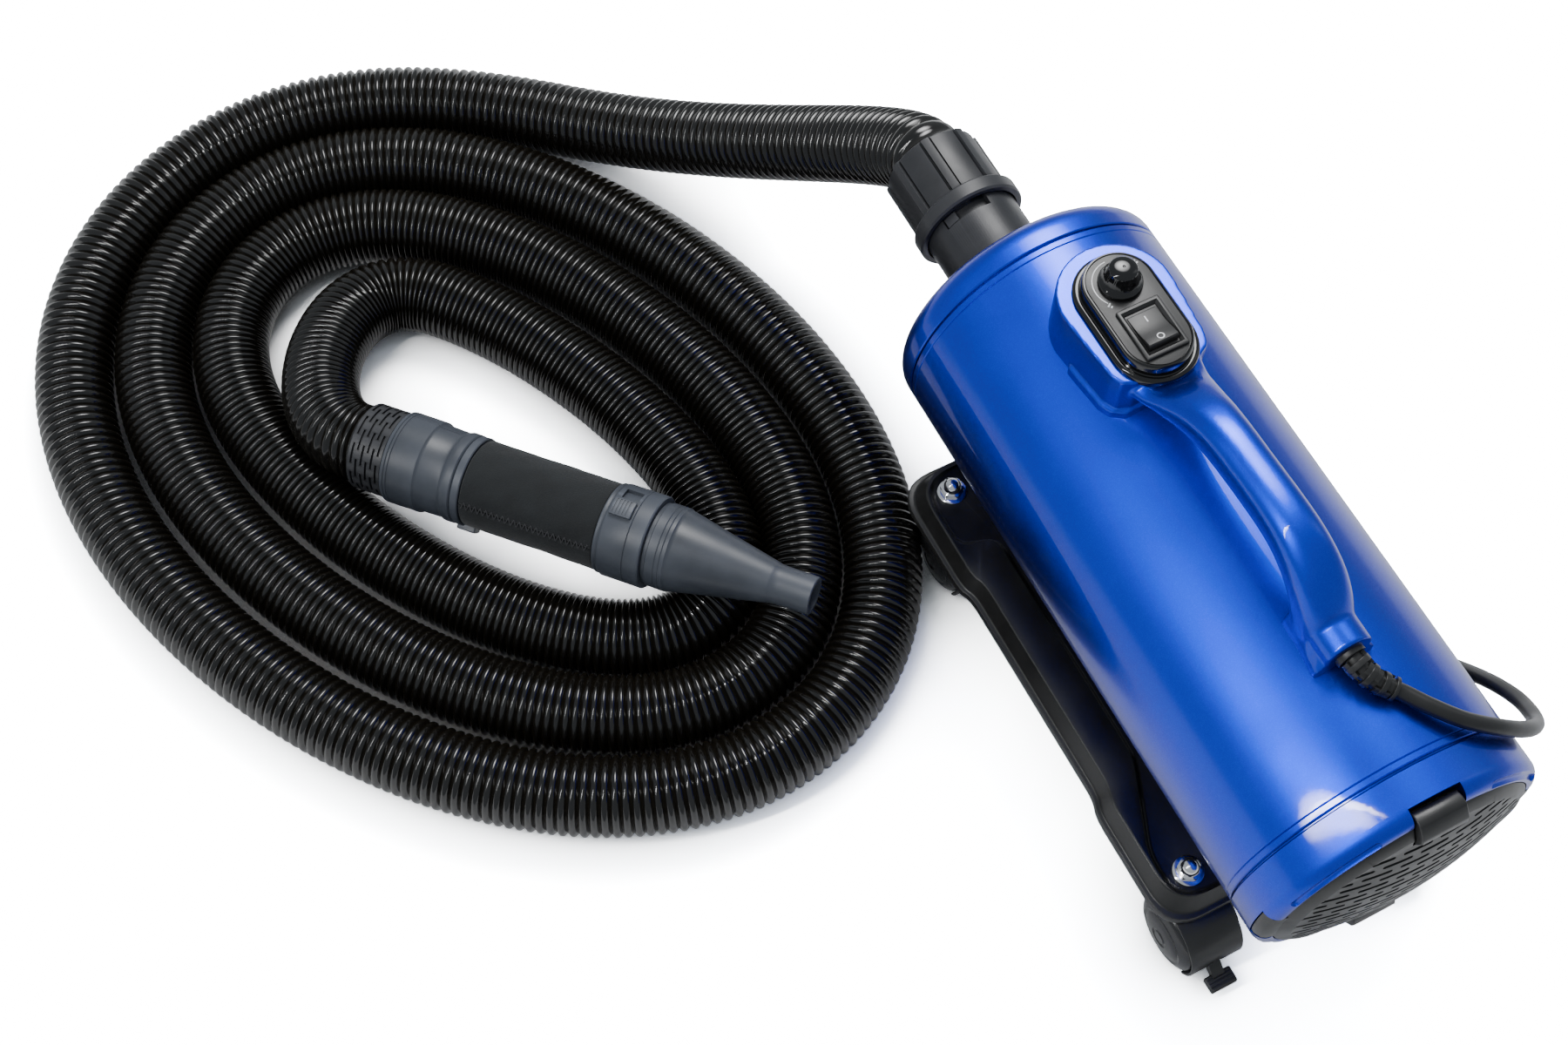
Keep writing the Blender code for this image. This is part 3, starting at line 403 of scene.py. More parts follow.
def blank(name):
    material = bpy.data.materials.new(name)
    material.use_nodes = True
    tree = material.node_tree
    shader = tree.nodes["Principled BSDF"]
    where = add(tree, "TexCoord").outputs["Object"]
    return material, tree, shader, where


def connect(tree, shader, **links):
    """Links or sets the shader's inputs, given with _ for a space."""
    for key, value in links.items():
        socket = shader.inputs[key.replace("_", " ")]
        if isinstance(value, bpy.types.NodeSocket):
            tree.links.new(value, socket)
        else:
            socket.default_value = value


def noise(tree, where, scale, detail):
    return add(tree, "TexNoise", {"Vector": where, "Scale": scale, "Detail": detail}).outputs["Fac"]


def spread(tree, value, low, high, first=0.3, last=0.7):
    """A value mapped from one range to another, clamped."""
    return add(tree, "MapRange", {"Value": value, "From Min": first, "From Max": last,
                                  "To Min": low, "To Max": high}).outputs["Result"]


def blend_colours(tree, share, first, second):
    mix = tree.nodes.new("ShaderNodeMix")
    mix.data_type = "RGBA"
    tree.links.new(share, mix.inputs["Factor"])
    for socket, value in ((mix.inputs["A"], first), (mix.inputs["B"], second)):
        if isinstance(value, bpy.types.NodeSocket):
            tree.links.new(value, socket)
        else:
            socket.default_value = (*value, 1)
    return mix.outputs["Result"]


def bump(tree, height, depth, before=None):
    inputs = {"Height": height, "Distance": depth * MM, "Strength": 1.0}
    if before:
        inputs["Normal"] = before
    return add(tree, "Bump", inputs).outputs["Normal"]


def edges(tree, low=0.52, high=0.6):
    """Convex edges, where wear and handling show."""
    pointed = add(tree, "NewGeometry").outputs["Pointiness"]
    return spread(tree, pointed, 0, 1, low, high)


def moulded(name, colour, roughness, grain=1100, depth=0.03, uneven=0.08, wear=0.25, coat=0.0):
    """Moulded plastic or rubber: fine grain, cloudy sheen, and edges rubbed lighter."""
    material, tree, shader, where = blank(name)
    cloud = noise(tree, where, 35, 5)
    fine = noise(tree, where, grain, 2)
    dark = [c * 0.8 for c in colour]
    light = [c * 1.25 for c in colour]
    base = blend_colours(tree, spread(tree, cloud, 0, 1), dark, light)
    rubbed = add(tree, "Math", {0: edges(tree), 1: wear}, operation="MULTIPLY").outputs[0]
    base = blend_colours(tree, rubbed, base, [c * 3 + 0.02 for c in colour])
    connect(tree, shader, Base_Color=base, Normal=bump(tree, fine, depth),
            Roughness=spread(tree, cloud, roughness - uneven, roughness + uneven), Coat_Weight=coat,
            Coat_Roughness=0.05)
    return material


def car_paint(name):
    """Deep metallic blue: flakes that sparkle, a darker tone at grazing angles, clear gloss over."""
    material, tree, shader, where = blank(name)
    facing = add(tree, "LayerWeight", {"Blend": 0.35}).outputs["Facing"]
    base = blend_colours(tree, facing, (0.0, 0.036, 0.72), (0.0, 0.008, 0.22))
    flakes = add(tree, "TexVoronoi", {"Vector": where, "Scale": 2600.0}).outputs["Color"]
    sparkle = add(tree, "SeparateColor", {"Color": flakes}).outputs["Red"]
    base = blend_colours(tree, spread(tree, sparkle, 0, 0.25, 0.5, 1.0), base, (0.0, 0.09, 0.95))
    peel = noise(tree, where, 160, 2)
    cloud = noise(tree, where, 22, 4)
    flaked = bump(tree, sparkle, 0.012, bump(tree, peel, 0.006))
    smooth = bump(tree, peel, 0.006)
    connect(tree, shader, Base_Color=base, Metallic=1.0, Normal=flaked, Coat_Normal=smooth,
            Roughness=spread(tree, cloud, 0.32, 0.4), Coat_Weight=0.6,
            Coat_Roughness=spread(tree, cloud, 0.02, 0.06), Coat_IOR=1.5)
    return material


def hose_vinyl(name):
    """Glossy black vinyl, browner at grazing angles and in the valleys."""
    material, tree, shader, where = blank(name)
    cloud = noise(tree, where, 45, 4)
    facing = add(tree, "LayerWeight", {"Blend": 0.3}).outputs["Facing"]
    base = blend_colours(tree, facing, (0.002, 0.0019, 0.0019), (0.012, 0.010, 0.0065))
    base = blend_colours(tree, edges(tree, 0.5, 0.42), base, (0.010, 0.008, 0.005))
    fine = noise(tree, where, 700, 2)
    connect(tree, shader, Base_Color=base, Normal=bump(tree, fine, 0.012),
            Roughness=spread(tree, cloud, 0.1, 0.18), Specular_IOR_Level=0.6)
    return material


def metal(name, colour, roughness, grain=900):
    material, tree, shader, where = blank(name)
    cloud = noise(tree, where, 120, 4)
    fine = noise(tree, where, grain, 2)
    base = blend_colours(tree, spread(tree, cloud, 0, 1), [c * 0.82 for c in colour], colour)
    connect(tree, shader, Base_Color=base, Metallic=1.0, Normal=bump(tree, fine, 0.01),
            Roughness=spread(tree, cloud, roughness, roughness + 0.12))
    return material


def neoprene(name, colour):
    """Knit-faced foam: rows of tiny loops, a soft sheen and pressed patches."""
    material, tree, shader, where = blank(name)
    loops = add(tree, "TexVoronoi", {"Vector": where, "Scale": 1500.0}).outputs["Distance"]
    cloud = noise(tree, where, 60, 5)
    base = blend_colours(tree, spread(tree, cloud, 0, 1), [c * 0.7 for c in colour],
                         [c * 1.4 for c in colour])
    folds = bump(tree, cloud, 0.5)
    connect(tree, shader, Base_Color=base, Normal=bump(tree, loops, 0.18, folds), Roughness=0.92,
            Sheen_Weight=0.12, Sheen_Roughness=0.5)
    return material


def foam(name, colour):
    material, tree, shader, where = blank(name)
    cells = add(tree, "TexVoronoi", {"Vector": where, "Scale": 700.0}).outputs["Distance"]
    # Painted shade: the colour darkens to three tenths in the pits of the cells.
    base = blend_colours(tree, spread(tree, cells, 0, 1, 0.0, 0.6), [c * 0.3 for c in colour], colour)
    connect(tree, shader, Base_Color=base, Normal=bump(tree, cells, 0.6), Roughness=0.95)
    return material


PAINT = car_paint("blue_paint")
GLOSS = moulded("gloss_black", (0.003, 0.003, 0.0033), 0.1, 500, 0.004, 0.035, 0.05, 0.15)
SATIN = moulded("satin_black", (0.010, 0.010, 0.0102), 0.38)
DECK = moulded("deck_black", (0.008, 0.0078, 0.0076), 0.36, 1300, 0.03, 0.07, 0.35)
FITTING = moulded("fitting_black", (0.017, 0.0175, 0.02), 0.4, 1000, 0.035)
WANDS = moulded("wand_charcoal", (0.040, 0.046, 0.058), 0.42, 1200, 0.035, 0.06, 0.3)
VINYL = hose_vinyl("hose_vinyl")
KNIT = neoprene("knit_black", (0.0045, 0.006, 0.007))
THREAD = moulded("thread_black", (0.02, 0.02, 0.022), 0.7, 2500, 0.06)
RUBBER = moulded("cord_rubber", (0.012, 0.012, 0.012), 0.36, 700, 0.02, 0.1, 0.15)
SEAL = moulded("seal_rubber", (0.02, 0.02, 0.02), 0.75, 600, 0.06)
FOAM = foam("filter_foam", (0.05, 0.05, 0.052))
CHROME = metal("bright_nickel", (0.86, 0.86, 0.88), 0.08)
STEEL = metal("plain_steel", (0.55, 0.55, 0.56), 0.3)
ALLOY = metal("cast_alloy", (0.62, 0.63, 0.64), 0.38, 500)
BOARD = moulded("circuit_board", (0.01, 0.12, 0.04), 0.35)
PRINT = moulded("white_print", (0.75, 0.76, 0.78), 0.45, 1500, 0.01, 0.05, 0.0)
CASTER = moulded("caster_nylon", (0.011, 0.011, 0.011), 0.38, 1100, 0.03, 0.08, 0.4)
WHEEL = moulded("wheel_nylon", (0.014, 0.014, 0.015), 0.24, 900, 0.02, 0.08, 0.3)


# ---------------------------------------------------------------- body

def body_tube():
    groove = 0.55
    profile = [(83, BODY_REAR), (84.4, BODY_REAR), (BODY_RADIUS, BODY_REAR + 0.6)]
    for near in (BODY_REAR + 3.4, BODY_FRONT - 4.6):
        profile += [(BODY_RADIUS, near), (BODY_RADIUS - groove, near + 0.5),
                    (BODY_RADIUS, near + 1)]
    profile += [(BODY_RADIUS, BODY_FRONT - 0.6), (84.4, BODY_FRONT), (83, BODY_FRONT)]
    tube = turned("body_shell", profile, BODY, 160, 0)
    finish(tube, PAINT, "dryer", "blue_paint", "body_tube")


def rounding(centre_radius, centre_along, width, depth, first, last, steps=8):
    """Points on an elliptic quarter of a profile, angles in degrees from the radial way."""
    return [(centre_radius + width * cos(radians(a)), centre_along + depth * sin(radians(a)))
            for a in (first + (last - first) * i / steps for i in range(steps + 1))]


def front_cap():
    profile = [(30.4, FRONT_FACE - 2.6), (30.4, FRONT_FACE), (60, FRONT_FACE)]
    profile += rounding(66, FRONT_FACE - 16, 19, 16, 90, 0)
    profile += [(BODY_RADIUS, 171), (84.4, 170.3), (82, 170.3), (82, 160), (80, 160),
                (80, FRONT_FACE - 16)]
    profile += rounding(64, FRONT_FACE - 16, 16, 13.4, 20, 90, 4)
    cap = turned("front_cap_shell", profile, BODY, 160, 0)
    finish(cap, PAINT, "dryer", "blue_paint", "front_cap")


def latch_gap(name, sign, near, far, slack, rear, front):
    """Room for a latch's tab, between two distances from the axis and a little wider than the tab."""
    low, high = sorted((AXIS_HEIGHT + sign * near, AXIS_HEIGHT + sign * far))
    half = LATCH_HALF_WIDTH + slack
    return slab(name, (-half, REAR_EDGE + rear, low), (half, REAR_EDGE + front, high))


def rear_cap():
    edge = BODY_REAR - 1.2
    rim = BODY_RADIUS + 0.3
    profile = [(82.4, edge + 10), (82.4, edge), (84.3, edge), (rim, edge - 0.8), (rim, REAR_EDGE + 10)]
    profile += rounding(GRILLE_RADIUS + 1.8, REAR_EDGE + 8.5, rim - GRILLE_RADIUS - 1.8, 8.5, 0, -90)
    profile += [(GRILLE_RADIUS + 0.6, REAR_EDGE + 0.4), (GRILLE_RADIUS + 0.6, REAR_EDGE + 9.5),
                (69, REAR_EDGE + 9.5), (69, REAR_EDGE + 12), (80, REAR_EDGE + 12), (80, edge + 10)]
    cap = turned("rear_cap_shell", profile, BODY, 192, 0)
    cutters = []
    ledges = ((24, 66), (114, 156), (204, 246), (294, 336))
    for first, last in ledges:
        ledge = sector(f"ledge_{first}", BODY, GRILLE_RADIUS + 3.2, 90, REAR_EDGE - 5, REAR_EDGE + 2.6,
                       first, last, 24)
        cutters.append(bevelled(ledge, 1.6))
    half = EAR_HALF_HEIGHT + 0.8
    cutters.append(slab("ear_room", (-100, REAR_EDGE - 5, AXIS_HEIGHT - half),
                        (100, REAR_EDGE + 8.6, AXIS_HEIGHT + half)))
    cutters += [latch_gap(f"latch_room_{sign}", sign, 66, 100, 1.5, -5, 8.6) for sign in (1, -1)]
    cut(cap, *cutters)
    finish(cap, PAINT, "dryer", "blue_paint", "rear_cap")


def slot_cutter(name, x, height, half_length, half_width):
    """A round-ended slot through the grille."""
    outline = arc((x + half_length - half_width, height), half_width, -90, 90, 5)
    outline += arc((x - half_length + half_width, height), half_width, 90, 270, 5)
    return skin(name, [[(px, y, AXIS_HEIGHT + pz) for px, pz in outline]
                       for y in (GRILLE_CROWN - 6, REAR_EDGE + 5)])


def dome_depth(radius):
    """How far the grille's face stands back from its crown at a radius."""
    return 9.8 * (radius / 68) ** 2 if radius < 68 else 9.8 + (radius - 68) * 0.42


def slot_cutters():
    """Rows of slots, every other row half a step along, ended at a circle and clear of the latches."""
    row_pitch = 6.4
    slot_pitch = 21.5
    slot_reach = 8.6
    slotted_radius = 68.5
    cutters = []
    for row in range(-10, 11):
        height = row * row_pitch
        chord = (slotted_radius ** 2 - height ** 2) ** 0.5
        stagger = slot_pitch / 2 if row % 2 else 0
        for i in range(-4, 4):
            x = i * slot_pitch + stagger
            left = max(x - slot_reach, -chord)
            right = min(x + slot_reach, chord)
            near_latch = abs(height) > 59 and left < 16 and right > -16
            if right - left >= 5 and not near_latch:
                cutters.append(slot_cutter(f"slot_{row}_{i}", (left + right) / 2, height,
                                           (right - left) / 2, 1.3))
    return cutters


def grille():
    rim = GRILLE_RADIUS
    profile = [(0, GRILLE_CROWN)]
    profile += [(r, GRILLE_CROWN + dome_depth(r)) for r in (8, 16, 24, 32, 40, 48, 56, 63, 67.2)]
    profile += [(68, GRILLE_CROWN + 9.4), (69, GRILLE_CROWN + 9.6), (rim - 1, REAR_EDGE - 0.8),
                (rim, REAR_EDGE + 0.4), (rim, REAR_EDGE + 8), (rim - 2.5, REAR_EDGE + 8),
                (rim - 2.5, REAR_EDGE + 2)]
    profile += [(r, GRILLE_CROWN + 2.6 + dome_depth(r)) for r in (64, 48, 32, 16)]
    profile.append((0, GRILLE_CROWN + 2.6))
    dome = turned("grille_face", profile, BODY, 144, 0)
    ears = turned("grille_ears", [
        (84.6, REAR_EDGE + 8), (84.6, REAR_EDGE + 6), (82.6, REAR_EDGE + 2.2), (80, REAR_EDGE + 0.6),
        (rim - 0.5, REAR_EDGE - 0.4), (rim - 2, REAR_EDGE + 1.5), (rim - 2, REAR_EDGE + 8)],
        BODY, 144, 0)
    window = slab("ear_window", (-100, REAR_EDGE - 20, AXIS_HEIGHT - EAR_HALF_HEIGHT),
                  (100, REAR_EDGE + 20, AXIS_HEIGHT + EAR_HALF_HEIGHT))
    join(dome, boolean(ears, window, "INTERSECT"))
    notches = [latch_gap(f"notch_{sign}", sign, 62.5, 90, 0.8, -20, 20) for sign in (1, -1)]
    cut(dome, *notches, *slot_cutters())
    finish(dome, SATIN, "grille", "satin_black", "intake_grille")


def latch(name, sign, body):
    """A sprung tab with a sloped thumb face."""
    side = [(-198.5, 64.5), (-198.5, 79.5), (-203, 81.4), (-207.5, 80.6), (-212.5, 74.5),
            (-213.5, 70), (-211, 63.5)]
    outline = [(y, AXIS_HEIGHT + sign * height) for y, height in side]
    block = across(f"{name}_tab", outline, -LATCH_HALF_WIDTH, LATCH_HALF_WIDTH, 0.9)
    finish(block, SATIN, body, "satin_black", name)


def spigot():
    flange = FRONT_FACE + 0.2
    profile = [(SPIGOT_RADIUS - 0.5, SPIGOT_END), (SPIGOT_RADIUS, SPIGOT_END - 0.6),
               (SPIGOT_RADIUS, flange + 1), (SPIGOT_RADIUS + 1.6, flange),
               (SPIGOT_RADIUS + 0.2, flange - 4), (SPIGOT_BORE, flange - 4), (SPIGOT_BORE, SPIGOT_END)]
    tube = turned("spigot_tube", profile, BODY, 128, 0)
    outline = [(-27, AXIS_HEIGHT + 7)] + arc((LUG_SCREW_X, AXIS_HEIGHT), 8, 60, 300, 14)
    outline += [(-27, AXIS_HEIGHT - 7)]
    lug = skin("lug", [[(x, y, z) for x, z in outline] for y in (flange - 0.1, FRONT_FACE + 14)])
    join(tube, bevelled(lug, 1))
    place = about((LUG_SCREW_X, 0, AXIS_HEIGHT), (0, 1, 0), (1, 0, 0))
    cut(tube, rod("counterbore", 4.8, FRONT_FACE + 30, FRONT_FACE + 7, place, 32))
    cut(tube, slab("bore_side", (-60, FRONT_FACE + 7.2, AXIS_HEIGHT - 3.2),
                   (LUG_SCREW_X, FRONT_FACE + 30, AXIS_HEIGHT + 3.2)))
    margin = LUG_HALF_ANGLE + 2
    for side in (0, 180):
        first = LOCK_ANGLE - LOCK_TRAVEL - margin + side
        cut(tube, sector(f"window_{side}", BODY, 24, 34, WINDOW_START, WINDOW_END,
                         first, LOCK_ANGLE + margin + side, 24))
        cut(tube, sector(f"entry_{side}", BODY, 24, 34, WINDOW_START + 0.1, SPIGOT_END + 5,
                         first + 0.1, first + 2 * margin, 12))
    finish(tube, FITTING, "dryer", "satin_black", "outlet_spigot")

    head = FRONT_FACE + 7.2
    profile = raised([(0, 2.4), (2.4, 2.2), (3.7, 1.0), (3.7, 0), (0, 0)], head)
    screw = turned("lug_screw_head", profile, place, 32, 0.2)
    slots = [slab(f"drive_{width}", (LUG_SCREW_X - width, head + 1.3, AXIS_HEIGHT - height),
                  (LUG_SCREW_X + width, head + 4, AXIS_HEIGHT + height))
             for width, height in ((2.2, 0.4), (0.4, 2.2))]
    cut(screw, join(*slots))
    finish(screw, STEEL, "dryer", "bright_steel", "spigot_screw")


def panelled(radius, angle, distance):
    """Eight wide panels on the cuff with narrow raised ribs between them."""
    if radius < 29 or distance < COLLAR_START + 11.5 or distance > COLLAR_END - 1:
        return radius
    turn = (angle / (2 * pi) * 8 + 0.2) % 1
    arc_mm = (turn - 0.5) * 2 * pi * radius / 8
    if abs(arc_mm) < 2.6:
        return radius + 2.0
    if abs(arc_mm) < 3.5:
        return radius - 0.9
    return radius + 0.5


def collar():
    sleeve = SPIGOT_BORE - 0.5
    outer = [(26.0, COLLAR_END), (28.4, COLLAR_END), (29.8, COLLAR_END - 1.6), (29.8, 262),
             (30, 258.6)]
    ring = [(31.6, 257.6), (34.2, 257.3), (35.2, 256.2), (35.2, 248.4), (34.2, COLLAR_START),
            (31.2, COLLAR_START), (30.6, 247.8), (30.6, SPIGOT_END + 0.6)]
    inner = [(sleeve, SPIGOT_END + 0.6), (sleeve, WINDOW_START - 8), (sleeve - 2, WINDOW_START - 8),
             (sleeve - 2, SPIGOT_END + 12), (26.0, SPIGOT_END + 12)]
    piece = turned("collar_cuff", outer + ring + inner, BODY, 360, 0, panelled)
    for side in (0, 180):
        join(piece, sector(f"lug_{side}", BODY, sleeve - 1, SPIGOT_RADIUS - 0.4, WINDOW_START + 0.6,
                           WINDOW_END - 0.6, LOCK_ANGLE - LUG_HALF_ANGLE + side,
                           LOCK_ANGLE + LUG_HALF_ANGLE + side))
    finish(piece, FITTING, "collar", "hose_fittings", "hose_collar")


# ---------------------------------------------------------------- handle and controls

def boss_outline(margin=0):
    radius = 33 + margin
    front = arc((0, BEZEL_FRONT), radius, 0, 180, 48)
    right = [(31.3 + margin, 87), (29.4 + margin, 67), (26.5 + margin, 60),
             (20 + margin, 56.5 - margin)]
    return front + [(-x, y) for x, y in right] + right[::-1]


def grip_sections():
    """(y, centre height, half width, half height) along the grip, from the boss to the foot."""
    return [
        (74, 270, 27, 17),
        (66, 276, 25, 11.8),
        (58, 279.6, 22.4, 8.6),
        (50, 281.6, 20.2, 7),
        (44, 284.2, 18.6, 7),
        (37, 287.4, 17.2, 8.6),
        (28, 291.5, 15.6, 10),
        (15, 296, 14.2, 11.8),
        (0, 298.6, 13.3, 13),
        (-20, 300, 13, 13.2),
        (-42, 301, 13.1, 13.4),
        (-58, 300, 13.6, 13.6),
        (-70, 296.6, 14.2, 14),
        (-80, 291, 14.8, 14.2),
        (-88, 283, 15, 14.2),
        (-94, 273, 15, 14),
        (-98, 262, 15, 13.5),
        (-99, 248, 15, 13),
    ]


def squared(share):
    """A sine or cosine pushed outwards, which turns an ellipse a little towards a box."""
    return copysign(abs(share) ** 0.8, share)


def grip():
    centres = through([section[:3] for section in grip_sections()], 5)
    depths = through([(section[3], 0, 0) for section in grip_sections()], 5)
    rings = []
    for i, (y, height, width) in enumerate(centres):
        before = centres[max(i - 1, 0)]
        after = centres[min(i + 1, len(centres) - 1)]
        lean = atan2(after.y - before.y, before.x - after.x)
        ring = []
        for k in range(48):
            angle = 2 * pi * k / 48
            rise = depths[i].x * squared(sin(angle))
            ring.append((width * squared(cos(angle)), y + rise * sin(lean), height + rise * cos(lean)))
        rings.append(ring)
    return skin("grip", rings)


def foot():
    """The cord foot: a half-round barrel on a flared block with a flat rear end."""
    place = about((0, 0, FOOT_AXIS_HEIGHT), (0, 1, 0), (1, 0, 0))
    barrel = rod("barrel", 13.5, -88, FOOT_REAR, place, 64)
    sections = ((-84, 15, 12), (-98, 15.4, 12.6), (-108, 16.6, 11.5), (FOOT_REAR, 18, 10.5))
    rings = []
    for y, low, high in sections:
        rings.append([(-low, y, 240), (low, y, 240), (low, y, 263), (high, y, 274), (-high, y, 274),
                      (-low, y, 263)])
    return merged(barrel, skin("flare", rings))


def handle():
    boss = plate("handle_moulding", boss_outline(), 225, BOSS_TOP)
    flange = plate("flange", boss_outline(2.2), 225, BOSS_TOP)
    ring = turned("flange_room", [(60, -60), (60, 96), (90.5, 96), (90.5, -60)], BODY, 160, 0)
    boolean(flange, ring, "INTERSECT")
    melted(merged(boss, flange, grip(), foot()), 0.9, 9)
    cut(boss, rod("saddle", BODY_RADIUS - 0.1, -190, 190, BODY, 192))
    cut(boss, slab("rear_plane", (-30, FOOT_REAR - 10, 230), (30, FOOT_REAR, 300)))
    finish(boss, PAINT, "dryer", "blue_paint", "handle", angle=50)


def slot_outline(half_width):
    """A straight-sided slot with round ends on the control bezel's centre line."""
    return arc((0, BEZEL_FRONT), half_width, 0, 180, 28) + arc((0, BEZEL_REAR), half_width, 180, 360, 28)


def bezel():
    steps = [(24.6, BOSS_TOP - 1.5), (24.6, 290.4), (24.2, 291.5), (23.4, 292.1), (22.2, 292.3),
             (21.4, 292.2), (20.9, 292.6), (20.7, 293.6), (20.6, 297.6), (20.3, 299.2), (19.6, 300.1),
             (18.9, 300.2), (18.5, 299.9), (18.4, 299.6)]
    rings = [[(x, y, z) for x, y in slot_outline(width)] for width, z in steps]
    cover = skin("bezel_cover", rings)
    finish(cover, GLOSS, "dryer", "gloss_black", "control_bezel")
    top = plate("bezel_top_plate", slot_outline(18.3), 299.2, PLATE_TOP)
    bevelled(top, 0.15)
    finish(top, SATIN, "dryer", "satin_black")


def print_arc(name, radius, width, first, last):
    """A raised white arc of print round the knob, angles in degrees from +X."""
    rings = []
    steps = max(2, int(abs(last - first) / 5))
    inner, outer = radius - width / 2, radius + width / 2
    low, high = PLATE_TOP - 0.05, PLATE_TOP + 0.09
    for i in range(steps + 1):
        angle = radians(first + (last - first) * i / steps)
        rings.append([(r * cos(angle), KNOB_Y + r * sin(angle), z)
                      for r, z in ((inner, low), (outer, low), (outer, high), (inner, high))])
    return skin(name, rings)


def dial_marks():
    """The plain scale: a long thin arc, end ticks, and a short wide arc that marks the high end."""
    scale = print_arc("dial_scale", 14.9, 0.55, 92, 214)
    extras = [print_arc("tick_low", 15.6, 2.6, 216, 219), print_arc("tick_low_b", 16.2, 1.4, 222, 225),
              print_arc("high_a", 14.6, 1.9, 34, 52), print_arc("high_b", 16.6, 0.8, 30, 33),
              print_arc("high_c", 15.6, 2.6, 24, 27)]
    merged(scale, *extras)
    finish(scale, PRINT, "dryer", "satin_black")


def fluted(radius, angle, distance):
    """Twelve flats round the knob's skirt, fading out at its base and top."""
    low, high = PLATE_TOP + 3.4, PLATE_TOP + 13.4
    if radius < 7 or not low < distance < high:
        return radius
    fade = min(1, (distance - low) / 2, (high - distance) / 1.2)
    facet = (angle * 12 / (2 * pi)) % 1 - 0.5
    flat = cos(pi / 12) / cos(facet * 2 * pi / 12)
    groove = 0.32 * max(0, 1 - abs(abs(facet) - 0.5) / 0.1)
    return radius * (1 + (flat - 1) * fade) - groove * fade


def knob():
    profile = [(0, 14.9), (0.7, 14.95), (0.9, 15.1), (3, 15.0), (5.6, 14.5), (7.2, 13.8), (7.9, 13),
               (8.2, 12), (8.6, 9.5), (9.3, 6.5), (10.3, 4.2), (11.4, 2.8), (12, 2.2), (12.2, 1.4),
               (12.2, 0), (3, 0), (3, -12), (0, -12)]
    place = about((0, KNOB_Y, 0), (0, 0, 1), (0, 1, 0))
    piece = turned("dial_knob", raised(profile, PLATE_TOP + 0.5), place, 144, 0, fluted)
    finish(piece, GLOSS, "knob", "gloss_black", "speed_knob")


def switch_block(name, half_width, half_length, low, high, edge=0):
    """A box centred on the switch, with its heights counted from the top plate."""
    return slab(name, (-half_width, SWITCH_Y - half_length, PLATE_TOP + low),
                (half_width, SWITCH_Y + half_length, PLATE_TOP + high), edge)


def switch():
    well_x = 9.6
    well_y = 12.8
    rim = switch_block("switch_bezel", 12.9, 16.4, -0.1, 2.2, 0.7)
    cut(rim, switch_block("well", well_x, well_y, -3, 5))
    body = switch_block("switch_body", well_x + 1, well_y + 1, -14, 0.5)
    cut(body, switch_block("well_low", well_x, well_y, -8, 3))
    join(rim, body)
    corners = ((-1, -1), (1, -1), (1, 1), (-1, 1))
    cut(rim, skin("well_slope", [[(x * width, SWITCH_Y + y * length, PLATE_TOP + z) for x, y in corners]
                                 for width, length, z in ((well_x, well_y, 0.6), (11.4, 14.6, 2.5))]))
    finish(rim, SATIN, "dryer", "satin_black", "switch_frame")

    side = [(-11.4, -3.5), (-11.4, 1.5), (-11.0, 4.2), (-10.2, 4.8), (-6, 3.7), (-3, 2.6), (0, 1.8),
            (3, 1.2), (6, 0.9), (11, 0.5), (11.4, 0.1), (11.4, -3.5), (0, -6)]
    outline = [(SWITCH_Y + y, PLATE_TOP + z) for y, z in side]
    rocker = across("rocker_cap", outline, -8.9, 8.9, 0.5)
    finish(rocker, SATIN, "rocker", "satin_black", "power_rocker")
    line = slab("mark_on", (-0.35, SWITCH_Y + 4.2, PLATE_TOP + 0.8),
                (0.35, SWITCH_Y + 8.2, PLATE_TOP + 1.05))
    finish(line, PRINT, "rocker", "satin_black")
    rings = []
    for k in range(32):
        angle = 2 * pi * k / 32
        ring = []
        for r, z in ((1.5, -0.2), (2.1, -0.2), (2.1, 0.12), (1.5, 0.12)):
            y = -7.3 + r * sin(angle)
            slope_height = 3.7 + (-6 - y) * 0.262
            ring.append((r * cos(angle), SWITCH_Y + y, PLATE_TOP + slope_height + z))
        rings.append(ring)
    finish(skin("mark_off", rings, loop=True), PRINT, "rocker", "satin_black")


def relief_path():
    y = FOOT_REAR
    return [(0, y - 0.2, FOOT_AXIS_HEIGHT - 0.5), (0.6, y - 5, 271.3), (2.6, y - 12, 269.8),
            (6.2, y - 18, 267.9), (10.2, y - 22.5, 266.2), (12.5, y - 25, 265.4)]


def strain_relief():
    """A collar, then rings that get smaller, joined by blocks that alternate from side to side."""
    path = through(relief_path(), 8)
    core = bar("relief_boot", path, 5.0, 24)
    last = len(path) - 1
    rings = ((0.02, 8.3, 2.2), (0.24, 7.4, 1.7), (0.46, 7.0, 1.6), (0.68, 6.6, 1.5), (0.93, 6.5, 1.0))
    for i, (share, radius, thick) in enumerate(rings):
        station = round(share * last)
        ahead = path[min(station + 1, last)] - path[max(station - 1, 0)]
        place = about(path[station], ahead, (0, 0, 1))
        join(core, rod(f"ring_{i}", radius, -thick, thick, place, 32, 0.4))
        if i in (0, len(rings) - 1):
            continue
        for side in (0, 180):
            turn = side + (90 if i % 2 else 0)
            join(core, sector(f"block_{i}_{side}", place, 3, radius - 0.3, -4.2, 4.2,
                              turn - 32, turn + 32))
    finish(core, RUBBER, "dryer", "cord_rubber", "strain_relief")


